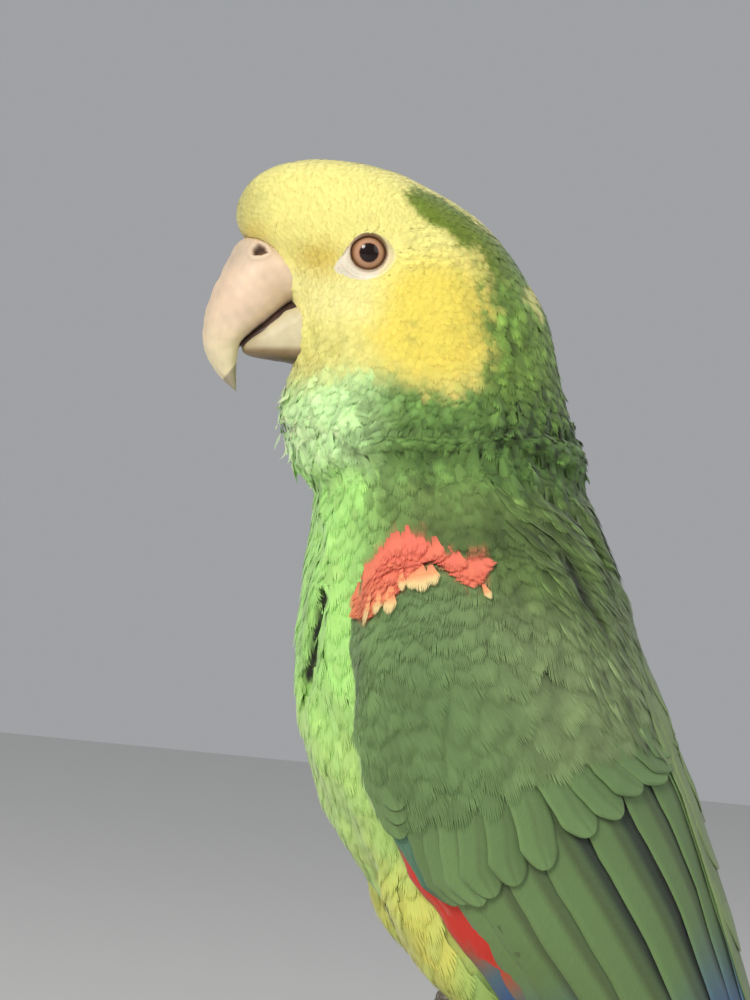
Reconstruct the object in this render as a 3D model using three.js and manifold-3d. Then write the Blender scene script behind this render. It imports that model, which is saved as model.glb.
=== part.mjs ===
// A double yellow-headed amazon parrot, life size, upright on a short round perch that a plain stand carries.
// Millimetres, +Z up. The bird faces -Y and its left side is +X. The origin is the middle of the base's underside.
// The bird's own points are [y, z] from just behind its eyes, and its group places them on the stand.
import * as THREE from "three";
import { mergeVertices } from "three/addons/utils/BufferGeometryUtils.js";
import Module from "manifold-3d";

// Driving dimensions.
const EYE_PLACE = new THREE.Vector3(0, -52, 335);
const GAP = 0.35;
const SMOOTHING = 0.08;
const EYE_RADIUS = 5.6;
const EYE_APART = 14.3;
const EYE_FORWARD = 1.2;
const SOCKET_RADIUS = 7.2;
const JAW_LEVEL = -32.5;
const NECK_LEVEL = -53.5;
const PERCH = { y: 40, z: -202, radius: 12, length: 150 };
const FOOT_APART = 19;
const TOE_RADIUS = 3.3;
const TOE_SPREAD = 3.7;
const ROD_RADIUS = 5;
const BASE = { radius: 76, height: 16, chamfer: 2.5 };

// The ribs of each form, from one closed end to the other. A rib is
// [front y, front z, back y, back z, half width, share of the depth at which it is widest].
const BODY_RIBS = [
  [-10, 22.3, -10, 22.3, 0, 0.5],
  [-22.1, 20.2, 4.3, 21, 12.8, 0.55],
  [-28.9, 15.6, 15, 17.2, 17.5, 0.57],
  [-31.9, 9.6, 25.7, 12.2, 19.5, 0.59],
  [-31.5, 3.4, 34.2, 5, 20.3, 0.61],
  [-25.6, -2.4, 40.3, -2.6, 20.8, 0.6],
  [-19.6, -8, 45.5, -9.8, 21.6, 0.58],
  [-16.2, -16, 48.4, -18.4, 22.6, 0.56],
  [-14.4, -25, 50.7, -26.3, 24.2, 0.55],
  [-16.4, -34, 53.5, -33.9, 26.2, 0.54],
  [-16.6, -42, 56.2, -41.8, 28, 0.53],
  [-12, -50, 59.1, -49, 29.8, 0.52],
  [-7.4, -57, 61.9, -55.4, 32.8, 0.5],
  [-6.6, -68, 67.2, -66.5, 37.7, 0.5],
  [-7.4, -84, 74.2, -81.7, 41.6, 0.5],
  [-7.2, -101, 80.6, -99, 43, 0.5],
  [-3.2, -118, 87, -117, 42.5, 0.5],
  [3, -132, 92, -135, 41, 0.5],
  [14.5, -148, 96.5, -152, 37.5, 0.5],
  [30, -163, 101, -168, 32, 0.5],
  [49, -178, 105.5, -183, 26, 0.5],
  [70, -195, 111, -197, 20.5, 0.5],
  [91, -214, 118, -212, 14, 0.5],
  [112, -226, 112, -226, 0, 0.5],
];
// The outer surface of both folded wings together.
const WINGS_RIBS = [
  [36, -58, 36, -58, 0, 0.5],
  [10, -66, 60, -61, 34, 0.5],
  [-9, -78, 71, -75, 44, 0.5],
  [-12.5, -95, 80, -93, 48, 0.5],
  [-9, -118, 90, -115, 48.5, 0.5],
  [5, -142, 100, -139, 46.5, 0.5],
  [26, -166, 110, -163, 41.5, 0.5],
  [50, -190, 120.5, -187, 34.5, 0.5],
  [77, -214, 131, -211, 27, 0.5],
  [103, -236, 140.5, -234, 19.5, 0.5],
  [127, -253, 148, -252, 11.5, 0.5],
  [149, -264, 149, -264, 0, 0.5],
];
const TAIL_RIBS = [
  [93, -176, 93, -176, 0, 0.5],
  [90, -184, 100, -180, 15, 0.5],
  [100, -203, 109.5, -199, 22, 0.5],
  [116.5, -232, 124.5, -229, 24.5, 0.5],
  [134, -262, 140, -260, 25.5, 0.5],
  [147, -284, 151.5, -283, 24.5, 0.5],
  [155, -296, 158, -296, 16, 0.5],
  [159.5, -300, 159.5, -300, 0, 0.5],
];
const THIGH_RIBS = [
  [40, -126, 40, -126, 0, 0.5],
  [20, -134, 62, -136, 11, 0.5],
  [16.5, -148, 62, -152, 14, 0.5],
  [22, -161, 58, -164, 13, 0.5],
  [32, -171, 53, -173, 9.5, 0.5],
  [39, -176.5, 50, -177.5, 6.4, 0.5],
  [45, -180, 45, -180, 0, 0.5],
];
const UPPER_BILL_RIBS = [
  [-14, -4, -14, -4, 0, 0.5],
  [-23.5, 1.2, -13, -10.5, 8.6, 0.5],
  [-29.6, 0.7, -17.2, -13.2, 9.5, 0.52],
  [-33.1, -6.2, -20.1, -16.1, 9.2, 0.55],
  [-35.6, -12.6, -22.9, -18.8, 8.4, 0.58],
  [-36.9, -19.8, -26, -21.7, 7.1, 0.62],
  [-36, -26.2, -28, -24.6, 5.3, 0.62],
  [-33.2, -30.7, -28.3, -28.6, 3.6, 0.6],
  [-30, -33.6, -28, -32.4, 1.9, 0.5],
  [-27.6, -35.6, -27.6, -35.6, 0, 0.5],
];
const LOWER_BILL_RIBS = [
  [-9, -20.5, -9, -20.5, 0, 0.5],
  [-12, -27.2, -12.5, -14.4, 7.6, 0.45],
  [-16.5, -27.4, -17.6, -15, 7.9, 0.45],
  [-20.8, -27.2, -21, -18, 7.4, 0.5],
  [-24.6, -26.9, -24.4, -21.1, 5.9, 0.55],
  [-26.6, -26.2, -26.7, -23.4, 3.8, 0.55],
  [-27.5, -24.9, -27.5, -24.9, 0, 0.5],
];
// The folded wing seen from the side, from the bend down its leading edge to the tip and back up.
const WING_OUTLINE = [
  [19.5, -64],
  [8.2, -72],
  [5.5, -88],
  [7.5, -117],
  [13.4, -130],
  [31, -150],
  [58, -177],
  [86, -206],
  [120, -240],
  [151, -269],
  [163, -262],
  [140, -205],
  [112, -140],
  [86, -96],
  [58, -76],
  [36, -66],
];

const ink = (colour, roughness, metalness = 0) =>
  new THREE.MeshStandardMaterial({ color: colour, roughness, metalness });
const YELLOW = ink(0xe9d95c, 0.85);
const LEAF_GREEN = ink(0x6fa052, 0.85);
const BREAST_GREEN = ink(0x86c063, 0.85);
const WING_GREEN = ink(0x47753f, 0.8);
const FLIGHT_BLUE = ink(0x2c3d5c, 0.7);
const TAIL_GREEN = ink(0x6b9a45, 0.8);
const HORN = ink(0xe3d0b4, 0.45);
const EYE_DARK = ink(0x6b3a22, 0.1);
const LEG_GREY = ink(0x9a9188, 0.6);
const CLAW_GREY = ink(0x4f4a46, 0.4);
const PERCH_WOOD = ink(0xc9a877, 0.6);
const BASE_WOOD = ink(0x5b3b26, 0.4);
const ROD_STEEL = ink(0x8d8f92, 0.35, 0.9);

const wasm = await Module();
wasm.setup();

// A three.js geometry as a solid that can be joined and cut.
function solid(geometry) {
  const bare = geometry.clone();
  bare.deleteAttribute("normal");
  bare.deleteAttribute("uv");
  const merged = mergeVertices(bare, 1e-4);
  const closed = (corners) =>
    new wasm.Manifold(
      new wasm.Mesh({
        numProp: 3,
        vertProperties: merged.attributes.position.array,
        triVerts: new Uint32Array(corners),
      }),
    );
  const made = closed(merged.index.array);
  return made.volume() > 0 ? made : closed([...merged.index.array].reverse());
}

function named(name, shape, material) {
  const cut = shape.simplify(SMOOTHING).getMesh();
  const geometry = new THREE.BufferGeometry();
  geometry.setAttribute("position", new THREE.BufferAttribute(cut.vertProperties, 3));
  geometry.setIndex(new THREE.BufferAttribute(cut.triVerts, 1));
  geometry.computeVertexNormals();
  const mesh = new THREE.Mesh(geometry, material);
  mesh.name = name;
  return mesh;
}

// A closed skin over rings of points, with one point at each end.
function closedSkin(rings, first, last) {
  const around = rings[0].length;
  const points = [first, ...rings.flat(), last];
  const faces = [];
  const ring = (level, k) => 1 + level * around + (k % around);
  for (let k = 0; k < around; k++) {
    faces.push(0, ring(0, k + 1), ring(0, k));
    faces.push(points.length - 1, ring(rings.length - 1, k), ring(rings.length - 1, k + 1));
  }
  for (let level = 0; level < rings.length - 1; level++)
    for (let k = 0; k < around; k++) {
      const [a, b] = [ring(level, k), ring(level, k + 1)];
      const [c, d] = [ring(level + 1, k), ring(level + 1, k + 1)];
      faces.push(a, b, d, a, d, c);
    }
  const geometry = new THREE.BufferGeometry().setFromPoints(points);
  geometry.setIndex(faces);
  return geometry;
}

// A smooth form through ribs. Each rib is an egg whose front and back points and half width are given.
function loft(ribs, { levels, around, grow = 0, side = 0, square = 1 }) {
  const fronts = new THREE.CatmullRomCurve3(
    ribs.map((r) => new THREE.Vector3(r[0], r[1], r[4])),
  );
  const backs = new THREE.CatmullRomCurve3(
    ribs.map((r) => new THREE.Vector3(r[2], r[3], r[5])),
  );
  const rings = [];
  for (let level = 1; level < levels; level++) {
    const front = fronts.getPoint(level / levels);
    const back = backs.getPoint(level / levels);
    const halfWidth = Math.max(front.z, 0.05) + grow;
    const widest = back.z;
    const across = new THREE.Vector2(back.x - front.x, back.y - front.y);
    const depth = Math.max(across.length(), 0.1);
    across.normalize();
    const frontReach = depth * widest + grow;
    const backReach = depth * (1 - widest) + grow;
    const middle = new THREE.Vector2(front.x, front.y).addScaledVector(across, depth * widest);
    const ring = [];
    for (let k = 0; k < around; k++) {
      const angle = (k / around) * 2 * Math.PI;
      const along = Math.sign(Math.cos(angle)) * Math.abs(Math.cos(angle)) ** square;
      const wide = Math.sign(Math.sin(angle)) * Math.abs(Math.sin(angle)) ** square;
      const reach = along > 0 ? -frontReach * along : -backReach * along;
      ring.push(
        new THREE.Vector3(
          side + halfWidth * wide,
          middle.x + across.x * reach,
          middle.y + across.y * reach,
        ),
      );
    }
    rings.push(ring);
  }
  const end = (rib) => new THREE.Vector3(side, rib[0], rib[1]);
  return solid(closedSkin(rings, end(ribs[0]), end(ribs[ribs.length - 1])));
}

// A round limb along a smooth path, with its radius at each point of the path and both ends rounded.
function limb(path, radii, { steps, sides, grow = 0 }) {
  const curve = new THREE.CatmullRomCurve3(path);
  const sizes = new THREE.SplineCurve(radii.map((r, k) => new THREE.Vector2(k, r)));
  const rings = [];
  for (let step = 0; step <= steps; step++) {
    const middle = curve.getPoint(step / steps);
    const along = curve.getTangent(step / steps);
    const sideways = new THREE.Vector3(1, 0, 0).cross(along).normalize();
    const other = along.clone().cross(sideways).normalize();
    const radius = sizes.getPoint(step / steps).y + grow;
    const ring = [];
    for (let k = 0; k < sides; k++) {
      const angle = (k / sides) * 2 * Math.PI;
      ring.push(
        middle
          .clone()
          .addScaledVector(sideways, radius * Math.cos(angle))
          .addScaledVector(other, radius * Math.sin(angle)),
      );
    }
    rings.push(ring);
  }
  const capOf = (t, radius, sign) =>
    curve.getPoint(t).addScaledVector(curve.getTangent(t), sign * (radius + grow) * 0.6);
  const ends = [capOf(0, radii[0], -1), capOf(1, radii[radii.length - 1], 1)];
  return solid(closedSkin(rings, ...ends));
}

function ball(centre, radii, around = 12) {
  const geometry = new THREE.SphereGeometry(1, around, around / 2 + 2);
  geometry.scale(...radii);
  geometry.translate(...centre);
  return solid(geometry);
}

function slab(yFrom, yTo, zFrom, zTo, xFrom = -80, xTo = 80) {
  const geometry = new THREE.BoxGeometry(xTo - xFrom, yTo - yFrom, zTo - zFrom);
  geometry.translate((xFrom + xTo) / 2, (yFrom + yTo) / 2, (zFrom + zTo) / 2);
  return solid(geometry);
}

// A flat outline of [y, z] points, pushed sideways along X.
function sideCut(outline, xFrom, xTo, smooth) {
  const shape = new THREE.Shape();
  const points = outline.map(([y, z]) => new THREE.Vector2(y, z));
  shape.moveTo(points[0].x, points[0].y);
  if (smooth) shape.splineThru([...points.slice(1), points[0]]);
  else points.slice(1).forEach((p) => shape.lineTo(p.x, p.y));
  const geometry = new THREE.ExtrudeGeometry(shape, {
    depth: xTo - xFrom,
    bevelEnabled: false,
    curveSegments: 3,
    steps: 1,
  });
  const basis = new THREE.Matrix4().makeBasis(
    new THREE.Vector3(0, 1, 0),
    new THREE.Vector3(0, 0, 1),
    new THREE.Vector3(1, 0, 0),
  );
  geometry.applyMatrix4(basis);
  geometry.translate(xFrom, 0, 0);
  return solid(geometry);
}

const mirrored = (shape) => shape.mirror([1, 0, 0]);

const BODY_GRID = { levels: 38, around: 24 };
const body = loft(BODY_RIBS, BODY_GRID);
const bodyGrown = loft(BODY_RIBS, { ...BODY_GRID, grow: GAP });
const BILL_GRID = { levels: 14, around: 14, square: 0.88 };
const LOWER_BILL_GRID = { levels: 8, around: 14, square: 0.9 };
const TAIL_GRID = { levels: 12, around: 16, square: 0.8 };

function bill() {
  const upper = loft(UPPER_BILL_RIBS, BILL_GRID);
  const upperGrown = loft(UPPER_BILL_RIBS, { ...BILL_GRID, grow: GAP });
  const lower = loft(LOWER_BILL_RIBS, LOWER_BILL_GRID).subtract(upperGrown);
  const lowerGrown = loft(LOWER_BILL_RIBS, { ...LOWER_BILL_GRID, grow: GAP });
  return { upper, lower, seat: upperGrown.add(lowerGrown) };
}

function head(seat) {
  let made = body.intersect(slab(-80, 120, JAW_LEVEL + GAP / 2, 60)).subtract(seat);
  for (const side of [-1, 1]) {
    const x = side * EYE_APART;
    const socket = ball([x, -EYE_FORWARD, 0], Array(3).fill(EYE_RADIUS + GAP));
    const hollow = ball(
      [side * 22.6, -EYE_FORWARD - 0.8, -0.4],
      [4.4, SOCKET_RADIUS, SOCKET_RADIUS * 0.8],
    );
    made = made.subtract(socket).subtract(hollow);
  }
  return made;
}

function tail() {
  return loft(TAIL_RIBS, TAIL_GRID).subtract(bodyGrown);
}

// The left wing: the wings' outer surface within the wing's outline, clear of the body, the back and the tail.
function wing() {
  const envelope = loft(WINGS_RIBS, { levels: 18, around: 20 });
  const outline = sideCut(WING_OUTLINE, GAP, 60, true);
  const backWedge = sideCut([[50, -50], [150, -50], [150, -150]], -1, 1, false).add(
    mantle(),
  );
  const tailGrown = loft(TAIL_RIBS, { ...TAIL_GRID, grow: GAP });
  return envelope.intersect(outline).subtract(bodyGrown).subtract(tailGrown).subtract(backWedge);
}

// The strip of back between the wings, wide at the shoulders and closing to a point above the rump.
function mantle() {
  const plan = new THREE.Shape();
  plan.moveTo(-24, 0);
  plan.lineTo(24, 0);
  plan.quadraticCurveTo(16, -50, 0.2, -92);
  plan.lineTo(-0.2, -92);
  plan.quadraticCurveTo(-16, -50, -24, 0);
  const geometry = new THREE.ExtrudeGeometry(plan, { depth: 90, bevelEnabled: false, curveSegments: 6 });
  geometry.rotateX(Math.PI / 2);
  geometry.rotateX(-Math.PI / 2);
  geometry.applyMatrix4(
    new THREE.Matrix4().makeBasis(
      new THREE.Vector3(-1, 0, 0),
      new THREE.Vector3(0, 0, 1),
      new THREE.Vector3(0, 1, 0),
    ),
  );
  geometry.translate(0, 50, -58);
  return solid(geometry);
}

const thigh = (grow = 0) =>
  loft(THIGH_RIBS, { levels: 10, around: 12, grow, side: FOOT_APART + 2 });

// Everything beside the folded wing, a little in front of its leading edge, where no leg may be.
const besideWing = () => sideCut(WING_OUTLINE, -1, 61, true).translate([0, -0.6, 0]);

// A point of a toe: an angle round the perch from its top, forwards, and a height above its surface.
function onPerch(x, angle, height) {
  const reach = PERCH.radius + height;
  return new THREE.Vector3(
    x,
    PERCH.y - reach * Math.sin(angle),
    PERCH.z + reach * Math.cos(angle),
  );
}

// One toe and its claw. way is 1 for a front toe and -1 for a back one.
function toe(x, spread, way, length) {
  const height = TOE_RADIUS + GAP;
  const reach = PERCH.radius + height;
  const end = length / reach;
  const path = [0.25, 0.5, 0.75, 1].map((share) =>
    onPerch(x + spread * share, way * end * share, height),
  );
  const made = limb(path, [TOE_RADIUS, TOE_RADIUS, 3.0, 2.8], { steps: 5, sides: 8 });
  const clawHeights = [3.2, 4.2, 3.6, 1.2];
  const clawPath = clawHeights.map((h, k) =>
    onPerch(x + spread * (1 + 0.1 * k), way * (end + 0.16 + k * 0.22), h),
  );
  const claw = limb(clawPath, [2.0, 1.7, 1.1, 0.4], { steps: 4, sides: 6 });
  const toeGrown = limb(path, [TOE_RADIUS, TOE_RADIUS, 3.0, 2.8], { steps: 5, sides: 8, grow: GAP });
  return { toe: made, claw: claw.subtract(toeGrown) };
}

// The left leg's pieces below the thigh, each clear of the next.
function leg() {
  const x = FOOT_APART;
  const padCentre = [x, PERCH.y, PERCH.z + PERCH.radius + 4.7 + GAP];
  const pad = ball(padCentre, [7, 7.2, 4.7]);
  const padGrown = ball(padCentre, [7 + GAP, 7.2 + GAP, 4.7 + GAP]);
  const shankPath = [
    new THREE.Vector3(x + 1.5, 47, -166),
    new THREE.Vector3(x + 0.8, 44, -174),
    new THREE.Vector3(x, 41, -183),
  ];
  const shank = limb(shankPath, [4.0, 3.9, 4.3], { steps: 4, sides: 10 })
    .subtract(padGrown)
    .subtract(thigh(GAP))
    .subtract(bodyGrown)
    .subtract(besideWing());
  const toes = {
    inner_front: toe(x - TOE_SPREAD, -2.5, 1, 23),
    outer_front: toe(x + TOE_SPREAD, 3, 1, 33),
    outer_back: toe(x + TOE_SPREAD, 4.5, -1, 30),
    inner_back: toe(x - TOE_SPREAD, -3, -1, 18),
  };
  const made = { shank, foot: pad };
  for (const [place, digit] of Object.entries(toes)) {
    made[`toe_${place}`] = digit.toe.subtract(padGrown);
    made[`claw_${place}`] = digit.claw;
  }
  return made;
}

function largest(shape) {
  return shape.decompose().reduce((a, b) => (a.volume() > b.volume() ? a : b));
}

function bird() {
  const group = new THREE.Group();
  group.position.copy(EYE_PLACE);
  const mandibles = bill();
  const neck = slab(-80, 120, NECK_LEVEL + GAP / 2, JAW_LEVEL - GAP / 2);
  const trunk = body.intersect(slab(-80, 160, -260, NECK_LEVEL - GAP / 2));
  group.add(named("head", largest(head(mandibles.seat)), YELLOW));
  group.add(named("bill_upper", mandibles.upper, HORN));
  group.add(named("bill_lower", largest(mandibles.lower), HORN));
  group.add(named("neck", body.intersect(neck), LEAF_GREEN));
  group.add(named("trunk", trunk, BREAST_GREEN));
  group.add(named("tail", largest(tail()), TAIL_GREEN));
  const wholeWing = wing();
  const armEnd = sideCut([[-40, -40], [200, -40], [200, -150], [60, -240], [-40, -240]], 0, 70, false);
  const tipStart = sideCut([[200, -150.5], [200, -320], [-40, -320], [-40, -240.5], [60, -240.5]], 0, 70, false);
  const wingParts = {
    wing: largest(wholeWing.intersect(armEnd)),
    wing_tip: largest(wholeWing.intersect(tipStart)),
    thigh: largest(thigh().subtract(bodyGrown).subtract(besideWing())),
  };
  const colours = { wing: WING_GREEN, wing_tip: FLIGHT_BLUE, thigh: YELLOW };
  const legParts = leg();
  for (const [side, turn] of Object.entries({ left: (s) => s, right: mirrored })) {
    const eyeX = side === "left" ? EYE_APART : -EYE_APART;
    const eyeball = ball([eyeX, -EYE_FORWARD, 0], Array(3).fill(EYE_RADIUS), 14);
    group.add(named(`eye_${side}`, eyeball, EYE_DARK));
    for (const [part, shape] of Object.entries(wingParts))
      group.add(named(`${part}_${side}`, turn(shape), colours[part]));
    for (const [part, shape] of Object.entries(legParts)) {
      const material = part.startsWith("claw") ? CLAW_GREY : LEG_GREY;
      group.add(named(`${part}_${side}`, turn(largest(shape)), material));
    }
  }
  return group;
}

function stand() {
  const group = new THREE.Group();
  const perchY = EYE_PLACE.y + PERCH.y;
  const perchZ = EYE_PLACE.z + PERCH.z;
  const round = (radius, length) => new THREE.CylinderGeometry(radius, radius, length, 32);
  const perch = new THREE.Mesh(round(PERCH.radius, PERCH.length), PERCH_WOOD);
  perch.name = "perch";
  perch.rotation.z = Math.PI / 2;
  perch.position.set(0, perchY, perchZ);
  const rodLength = perchZ - PERCH.radius - BASE.height - 2 * GAP;
  const rod = new THREE.Mesh(round(ROD_RADIUS, rodLength), ROD_STEEL);
  rod.name = "stand_rod";
  rod.rotation.x = Math.PI / 2;
  rod.position.set(0, perchY, BASE.height + GAP + rodLength / 2);
  const { radius, height, chamfer } = BASE;
  const profile = [
    [0, 0],
    [radius, 0],
    [radius, height - chamfer],
    [radius - chamfer, height],
    [0, height],
  ].map(([r, h]) => new THREE.Vector2(r, h));
  const base = new THREE.Mesh(new THREE.LatheGeometry(profile, 40), BASE_WOOD);
  base.name = "stand_base";
  base.rotation.x = Math.PI / 2;
  group.add(perch, rod, base);
  return group;
}

const parrot = new THREE.Group();
parrot.add(bird(), stand());

export default parrot;
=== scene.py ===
"""A double yellow-headed amazon parrot on a short perch and a plain display stand.

Shapes are worked out in millimetres from a place just behind the bird's eyes: x to its left, y to
its back, z up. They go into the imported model's own frame, in metres, when a mesh is made.
"""

import math

import bmesh
import bpy
import numpy as np
from mathutils import Matrix, Vector
from mathutils.bvhtree import BVHTree
from mathutils.kdtree import KDTree


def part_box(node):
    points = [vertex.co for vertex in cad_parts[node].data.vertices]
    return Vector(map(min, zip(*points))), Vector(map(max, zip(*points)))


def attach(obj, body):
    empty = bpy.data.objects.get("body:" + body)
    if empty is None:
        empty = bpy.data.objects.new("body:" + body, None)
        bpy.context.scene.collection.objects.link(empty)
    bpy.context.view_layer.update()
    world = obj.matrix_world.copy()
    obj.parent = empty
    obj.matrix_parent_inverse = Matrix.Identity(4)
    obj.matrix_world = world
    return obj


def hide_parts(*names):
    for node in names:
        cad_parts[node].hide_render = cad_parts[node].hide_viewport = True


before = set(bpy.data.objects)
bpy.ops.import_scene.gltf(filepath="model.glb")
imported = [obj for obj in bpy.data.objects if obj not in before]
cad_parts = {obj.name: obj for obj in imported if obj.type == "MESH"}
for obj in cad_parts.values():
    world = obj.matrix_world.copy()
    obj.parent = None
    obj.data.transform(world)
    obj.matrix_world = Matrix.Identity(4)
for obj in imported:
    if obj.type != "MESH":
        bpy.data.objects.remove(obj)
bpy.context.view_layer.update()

# Driving values, in millimetres unless a name says otherwise.
EYE_FORWARD = 1.2
EYE_RADIUS = 5.6
PUPIL_RADIUS = 2.2
PUPIL_DROP = 0.25
IRIS_REACH = 5.0
SKIN_VOXEL = 1.15
CAMERA_DISTANCE = 900.0
CAMERA_AZIMUTH = 84.0
CAMERA_ROLL = 6.0
PICTURE_HEIGHT = 237.0
PICTURE_CENTRE = (14.3, 6.9, -58.0)

BODY_NODES = ["head", "neck", "trunk"]
SIDES = {"left": 1, "right": -1}


def middle(node):
    low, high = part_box(node)
    return (low + high) / 2


eye_place = np.array(middle("eye_left")) * 1000
EYE_APART = float(eye_place[0])
ORIGIN = np.array([0, eye_place[1] + EYE_FORWARD, eye_place[2]])


def metres(points):
    """Points of the bird's own frame, in millimetres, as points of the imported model's frame."""
    return (np.asarray(points, float) + ORIGIN) / 1000


def own(points):
    """The other way round."""
    return np.asarray(points, float) * 1000 - ORIGIN


def unit(vectors):
    size = np.linalg.norm(vectors, axis=-1, keepdims=True)
    return vectors / np.maximum(size, 1e-9)


def ease(values, low, high):
    """0 below low, 1 above high and smooth between."""
    share = np.clip((values - low) / (high - low), 0, 1)
    return share * share * (3 - 2 * share)


def hump(values, centre, width):
    """1 at the centre, and less on both sides of it."""
    return np.exp(-(((values - centre) / width) ** 2))


def spot(y, z, centre, size):
    """1 at a centre seen from the side, and less all round it."""
    return np.exp(-(((y - centre[0]) / size[0]) ** 2 + ((z - centre[1]) / size[1]) ** 2))


def mix(first, second, share):
    return first + (second - first) * share


def washed(colour, *washes):
    """A colour with others laid over it, each with its share at every point."""
    for other, share in washes:
        colour = mix(colour, other, share[..., None])
    return colour


def tone(red, green, blue):
    """A screen colour from 0 to 255 as the linear colour that shaders use."""
    share = np.array([red, green, blue]) / 255
    return np.where(share <= 0.04045, share / 12.92, ((share + 0.055) / 1.055) ** 2.4)


def ripple(points, size, seed):
    """Soft noise from -1 to 1 whose swells are about size across."""
    rng = np.random.default_rng(seed)
    waves = unit(rng.normal(size=(7, 3))) * (2 * math.pi / size) * rng.uniform(0.6, 1.6, (7, 1))
    phases = rng.uniform(0, 2 * math.pi, 7)
    return np.sin(points @ waves.T + phases).sum(-1) / 3.2


# Meshes from arrays.


def placed(name, data):
    """A new object in the scene."""
    made = bpy.data.objects.new(name, data)
    bpy.context.scene.collection.objects.link(made)
    return made


def finished(made):
    """An object's mesh as its modifiers leave it."""
    return bpy.data.meshes.new_from_object(
        made.evaluated_get(bpy.context.evaluated_depsgraph_get())
    )


def mesh_object(name, points, quads, tris, material, tints=None, maps=None, smooth=True):
    """A mesh piece. Its points are the bird's, and its maps are given for each face corner."""
    quads = np.asarray(quads, np.int32).reshape(-1, 4)
    tris = np.asarray(tris, np.int32).reshape(-1, 3)
    mesh = bpy.data.meshes.new(name)
    corners = np.concatenate([quads.ravel(), tris.ravel()])
    starts = np.concatenate(
        [np.arange(len(quads)) * 4, len(quads) * 4 + np.arange(len(tris)) * 3]
    )
    mesh.vertices.add(len(points))
    mesh.loops.add(len(corners))
    mesh.polygons.add(len(starts))
    mesh.vertices.foreach_set("co", metres(points).astype(np.float32).ravel())
    mesh.loops.foreach_set("vertex_index", corners)
    mesh.polygons.foreach_set("loop_start", starts.astype(np.int32))
    mesh.polygons.foreach_set("use_smooth", np.full(len(starts), smooth))
    mesh.update(calc_edges=True)
    if tints is not None:
        colours = np.concatenate([tints, np.ones((len(tints), 1))], 1).astype(np.float32)
        mesh.attributes.new("tint", "FLOAT_COLOR", "POINT").data.foreach_set(
            "color", colours.ravel()
        )
    for map_name, places in (maps or {}).items():
        layer = mesh.uv_layers.new(name=map_name)
        layer.data.foreach_set("uv", places[corners].astype(np.float32).ravel())
    mesh.materials.append(material)
    return placed(name, mesh)


def keep(piece, slot, *nodes):
    """Fixes a finished piece to the model, in the place of the CAD nodes it stands for."""
    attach(piece, "root")
    for node in nodes:
        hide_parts(node)
    return piece


def grid_quads(rows, columns, closed=False):
    """The faces of a grid of points, row by row, that may close on itself across its columns."""
    row, column = np.meshgrid(
        np.arange(rows - 1), np.arange(columns if closed else columns - 1), indexing="ij"
    )
    following = (column + 1) % columns
    here = row * columns
    quads = np.stack(
        [here + column, here + following, here + columns + following, here + columns + column], -1
    )
    return quads.reshape(-1, 4)


def closed_rings(rows, around):
    """The faces of rings of points, then of a last point at each end that closes them."""
    here = np.arange(around)
    following = (here + 1) % around
    first, last, low = rows * around, rows * around + 1, (rows - 1) * around
    tris = np.concatenate([
        np.stack([np.full(around, first), following, here], 1),
        np.stack([np.full(around, last), low + here, low + following], 1),
    ])
    return grid_quads(rows, around, closed=True), tris


def smooth_curve(points, count):
    """count points evenly along the parameter of a Catmull-Rom curve through points."""
    points = np.asarray(points, float)
    padded = np.concatenate([[2 * points[0] - points[1]], points, [2 * points[-1] - points[-2]]])
    place = np.linspace(0, len(points) - 1, count)
    piece = np.minimum(place.astype(int), len(points) - 2)
    t = (place - piece)[:, None]
    a, b, c, d = (padded[piece + k] for k in range(4))
    return 0.5 * (
        2 * b + (c - a) * t + (2 * a - 5 * b + 4 * c - d) * t**2 + (3 * b - a - 3 * c + d) * t**3
    )


# The surfaces that the skin and the feathers follow.

# How far apart points are joined, in metres, and how far solids are swollen before they are fused.
WELD = 1e-6
FUSE_STEP = 0.25
SLEEVE_STEP = 0.7
# Rays start this far to the bird's left or behind it, and would meet its inside at these depths.
RAY_START = 250.0
RAY_CENTRE = (25.0, 60.0)


class Surface:
    """A surface of triangles that points can be dropped on."""

    def __init__(self, points, tris):
        self.points = points
        self.tris = tris
        self.settle()

    def settle(self):
        """Works out the normals and the search tree again after the points have moved."""
        a, b, c = (self.points[self.tris[:, k]] for k in range(3))
        cross = np.cross(b - a, c - a)
        self.areas = np.linalg.norm(cross, axis=1) / 2
        normals = np.zeros_like(self.points)
        for k in range(3):
            np.add.at(normals, self.tris[:, k], cross)
        self.normals = unit(normals)
        self.tree = BVHTree.FromPolygons(self.points.tolist(), self.tris.tolist())

    def drop(self, points):
        """The nearest place on the surface to each point, and its smooth normal."""
        shape = np.shape(points)
        flat = np.asarray(points, float).reshape(-1, 3)
        places = np.empty_like(flat)
        faces = np.empty(len(flat), int)
        find = self.tree.find_nearest
        for k, point in enumerate(flat.tolist()):
            place, _, face, _ = find(point)
            places[k] = place
            faces[k] = face
        corners = self.tris[faces]
        away = np.linalg.norm(self.points[corners] - places[:, None], axis=2)
        weights = 1 / (away + 0.05)
        normals = unit((self.normals[corners] * weights[..., None]).sum(1))
        return places.reshape(shape), normals.reshape(shape)

    def seen_from(self, axis, one, two):
        """The outermost place on the bird's left or back, by its other two coordinates.

        A ray that misses the bird gives the nearest place to a point inside it instead."""
        one, two = np.broadcast_arrays(np.asarray(one, float), np.asarray(two, float))
        start = np.stack([one.ravel(), two.ravel()], 1)
        start = np.insert(start, axis, RAY_START, axis=1)
        way = -np.eye(3)[axis]
        inside = start + way * (RAY_START - RAY_CENTRE[axis])
        places = np.empty_like(start)
        for k in range(len(start)):
            hit = self.tree.ray_cast(start[k], way)[0]
            places[k] = self.tree.find_nearest(inside[k])[0] if hit is None else hit
        places, normals = self.drop(places)
        return places.reshape(one.shape + (3,)), normals.reshape(one.shape + (3,))


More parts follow.
